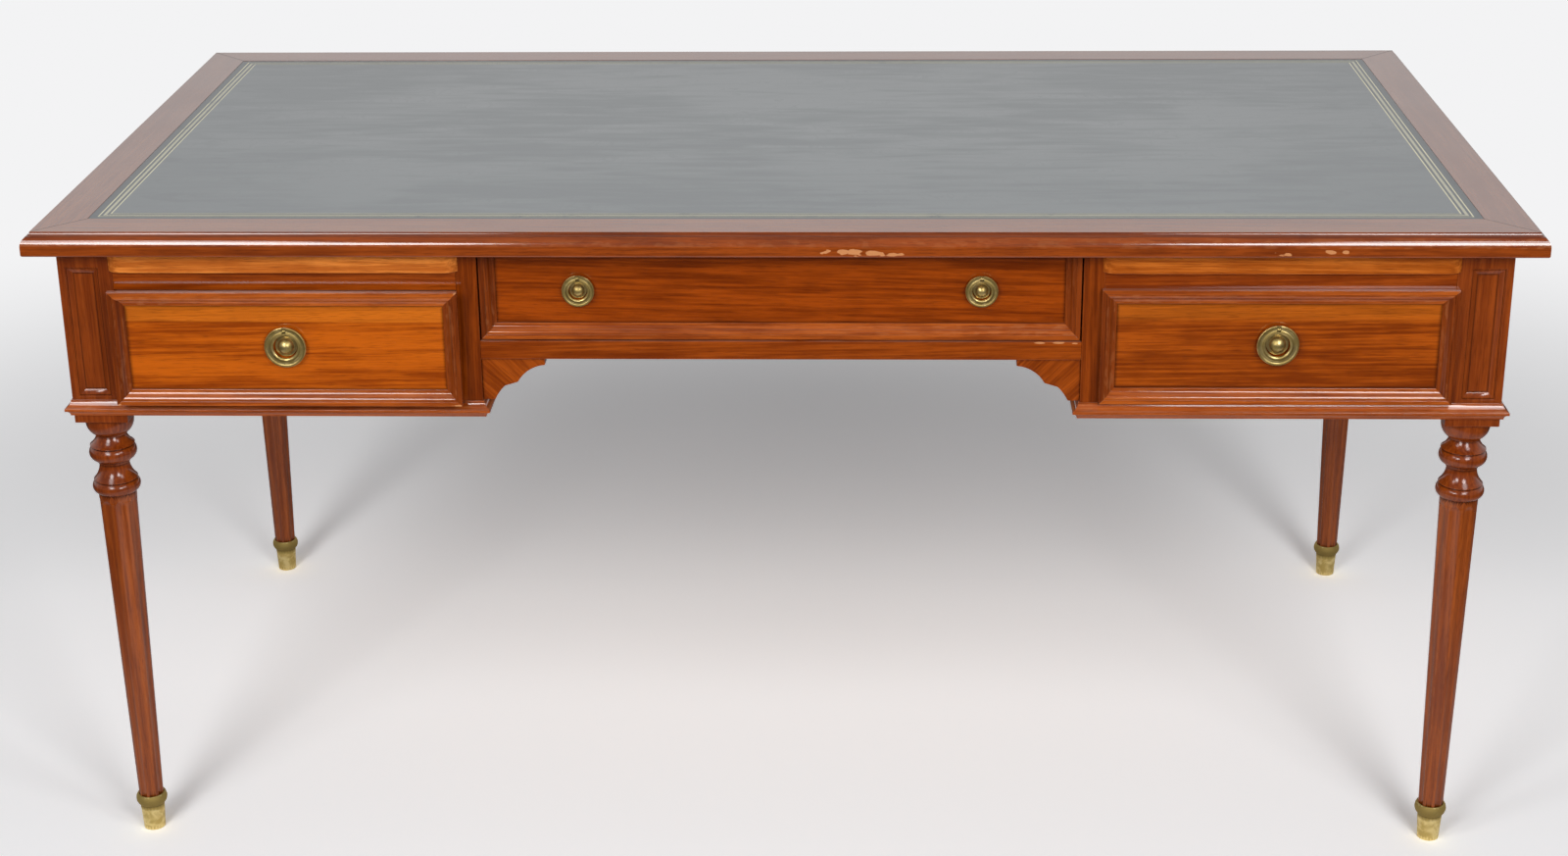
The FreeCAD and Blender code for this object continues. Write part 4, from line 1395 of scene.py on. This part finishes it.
@dataclass
class Studio:
    """Pale floor and backdrop, two pairs of soft lamps and the camera."""

    floor_size: float = 60.0
    floor_drop: float = 0.2 * MM
    backdrop_from: float = 1.0
    backdrop_to: float = 2.6
    gloss_from: float = 0.9
    gloss_to: float = 1.7
    paper_span: Span = (-0.5, 0.3)
    room_span: Span = (-0.35, 0.35)
    bounce_span: Span = (0.05, 0.55)
    bounce_height: Span = (0.1, 0.5)
    lamps: tuple[Lamp, ...] = (
        Lamp("far", (1.3, -3.2, 2.05), 1.15, 43.0),
        Lamp("near", (1.22, -1.7, 1.9), 0.75, 8.5),
    )
    lamp_aim: Triple = (0.0, 0.0, 0.55)
    ambient: float = 0.22
    room: float = 0.3
    bounce: float = 0.7
    eye: Triple = (0.10229, -3.07321, 1.56687)
    yaw: float = 2.115
    pitch: float = 21.2782
    roll: float = -0.5919
    lens: float = 59.212
    sensor: float = 36.0
    paper: ClassVar[Colour] = srgb(240, 239, 240)
    # Camera-only paper tones above 1: painted light on the floor, stronger behind the desk.
    near_paper: ClassVar[Colour] = (1.16, 1.17, 1.19, 1.0)
    far_paper: ClassVar[Colour] = (1.52, 1.53, 1.55, 1.0)
    backdrop: ClassVar[Colour] = srgb(243, 243, 244)
    dusk: ClassVar[Colour] = srgb(72, 68, 66)

    def build(self) -> None:
        """Set up the view, the floor, the light and the camera."""
        bpy.context.scene.view_settings.view_transform = "Standard"
        self.floor()
        self.world()
        for lamp in self.lamps:
            for side in (-1, 1):
                self.hang(lamp, self.lamp_name(lamp, side), side)
        self.camera()

    def rays(self, graph: Graph) -> tuple[Wire, Wire]:
        """Tell what kind of ray is being traced.

        Args:
            graph: The graph to build in.

        Returns:
            1 where a ray comes from the camera or through glass, and 1 where it comes from gloss.
        """
        path = graph.node("ShaderNodeLightPath", out="Is Camera Ray")
        others = path.socket.node.outputs
        return path.most(Wire(graph, others["Is Transmission Ray"])), Wire(graph, others["Is Glossy Ray"])

    def floor(self) -> None:
        """Lay a sheet of paper that takes the shadow and fades into the backdrop; the camera sees it
        brightened, more behind the desk, as painted light, and gloss far off sees a dim sheet, a painted
        reflection.
        """
        bm = bmesh.new()
        bmesh.ops.create_grid(bm, x_segments=1, y_segments=1, size=self.floor_size / 2)
        bmesh.ops.translate(bm, vec=(0.0, 0.0, -self.floor_drop), verts=bm.verts)
        mesh = bpy.data.meshes.new("floor")
        bm.to_mesh(mesh)
        bm.free()
        material = bpy.data.materials.new("paper_floor")
        material.use_nodes = True
        graph = Graph(material.node_tree)
        far = graph.node("ShaderNodeVectorMath", {"operation": "LENGTH"}, {0: graph.place()}, out="Value")
        seen, gloss = self.rays(graph)
        # Painted light: the paper seen by the camera is brightened beyond white, more behind the desk than
        # before it.
        behind = graph.split(graph.place())[1].rise(*self.paper_span)
        tone = graph.blend(seen, self.paper, graph.blend(behind, self.near_paper, self.far_paper))
        matt = graph.node("ShaderNodeBsdfDiffuse", inputs={"Color": tone})
        white = graph.node("ShaderNodeEmission", inputs={"Color": self.backdrop})
        dim = graph.node("ShaderNodeEmission", inputs={"Color": self.dusk})
        share = far.rise(self.backdrop_from, self.backdrop_to) * seen
        mixed = graph.node("ShaderNodeMixShader", inputs={0: share, 1: matt, 2: white})
        # Painted reflection: far off, gloss sees the floor as a dim sheet.
        dusk = far.rise(self.gloss_from, self.gloss_to) * gloss
        mixed = graph.node("ShaderNodeMixShader", inputs={0: dusk, 1: mixed, 2: dim})
        graph.node("ShaderNodeOutputMaterial", inputs={"Surface": mixed})
        mesh.materials.append(material)
        floor = bpy.data.objects.new("floor", mesh)
        bpy.context.scene.collection.objects.link(floor)

    def world(self) -> None:
        """Light the room softly from all round, and more from the backdrop.

        Gloss shows a dim room before the desk.
        """
        world = bpy.data.worlds.new("studio")
        bpy.context.scene.world = world
        world.use_nodes = True
        graph = Graph(world.node_tree)
        seen, gloss = self.rays(graph)
        _, ahead, up = graph.split(graph.node("ShaderNodeTexCoord", out="Generated"))
        mirrored = self.room + ahead.rise(*self.room_span) * (1.0 - self.room)
        low = 1.0 - up.rise(*self.bounce_height)
        bounced = self.ambient + ahead.rise(*self.bounce_span) * low * self.bounce
        level = seen + (1.0 - seen) * (gloss * mirrored + (1.0 - gloss) * bounced)
        sky = graph.node("ShaderNodeBackground", inputs={"Color": self.backdrop, "Strength": level})
        graph.node("ShaderNodeOutputWorld", inputs={"Surface": sky})

    def hang(self, lamp: Lamp, name: str, side: int) -> bpy.types.Object:
        """Hang one soft lamp in front of the desk.

        Args:
            lamp: The pair that it belongs to.
            name: The lamp's name.
            side: -1 for the left, 1 for the right.

        Returns:
            The lamp.
        """
        data = bpy.data.lights.new(name, "AREA")
        data.shape = "DISK"
        data.size = lamp.size
        data.energy = lamp.power
        hung = bpy.data.objects.new(name, data)
        hung.location = Vector((side * lamp.place[0], lamp.place[1], lamp.place[2]))
        hung.rotation_euler = (Vector(self.lamp_aim) - hung.location).to_track_quat("-Z", "Y").to_euler()
        hung.visible_camera = False
        bpy.context.scene.collection.objects.link(hung)
        return hung

    def shield(self, piece: bpy.types.Object) -> None:
        """Keep the lamps' glare off a piece: twins of the lamps light it and aren't mirrored in it.

        Args:
            piece: The piece to shield.
        """
        alone = bpy.data.collections.new("shielded")
        others = bpy.data.collections.new("unshielded")
        for group in (alone, others):
            group.objects.link(piece)
        others.collection_objects[0].light_linking.link_state = "EXCLUDE"
        for lamp in self.lamps:
            for side in (-1, 1):
                twin = self.hang(lamp, f"{self.lamp_name(lamp, side)}_twin", side)
                twin.visible_glossy = False
                twin.light_linking.receiver_collection = alone
                bpy.data.objects[self.lamp_name(lamp, side)].light_linking.receiver_collection = others

    def lamp_name(self, lamp: Lamp, side: int) -> str:
        """The name of the left lamp of a pair, for side -1, or of the right one."""
        return f"lamp_{lamp.label}_{'left' if side < 0 else 'right'}"

    def camera(self) -> None:
        """Stand the camera where the desk is seen as photographed."""
        data = bpy.data.cameras.new("camera")
        data.lens = self.lens
        data.sensor_width = self.sensor
        data.sensor_fit = "HORIZONTAL"
        camera = bpy.data.objects.new("camera", data)
        turn = Euler((0.0, 0.0, math.radians(self.yaw))).to_matrix()
        tip = Euler((math.radians(90.0 - self.pitch), 0.0, 0.0)).to_matrix()
        bank = Euler((0.0, 0.0, math.radians(self.roll))).to_matrix()
        camera.matrix_world = Matrix.Translation(self.eye) @ (turn @ tip @ bank).to_4x4()
        bpy.context.scene.collection.objects.link(camera)
        bpy.context.scene.camera = camera


def main() -> None:
    """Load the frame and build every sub-assembly around it."""
    logging.basicConfig(level=logging.INFO, format="%(message)s")
    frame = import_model()
    shop = Workshop(frame)
    studio = Studio()
    studio.build()
    studio.shield(Desktop(shop).build())
    Legs(shop).build()
    Carcass(shop).build()
    large = {"bead": 16.3 * MM, "rim": 21.4 * MM}
    small = {"bead": 12.7 * MM, "rim": 16.6 * MM}
    left_rings = (RingPull(shop, "drawer_left_ring", **large),)
    right_rings = (RingPull(shop, "drawer_right_ring", **large),)
    centre_rings = tuple(RingPull(shop, f"drawer_centre_ring_{side}", **small) for side in ("left", "right"))
    Drawer(shop, "drawer_left", WOOD_LEFT, WOOD_KNOCKED, left_rings).build()
    Drawer(shop, "drawer_right", WOOD_RIGHT, WOOD_MOULDING, right_rings).build()
    Drawer(shop, "drawer_centre", WOOD_CENTRE, WOOD_MOULDING, centre_rings).build()
    WritingSlide(shop, "left", WOOD_LIP_LEFT).build()
    WritingSlide(shop, "right", WOOD_LIP_RIGHT).build()


if __name__ == "__main__":
    main()
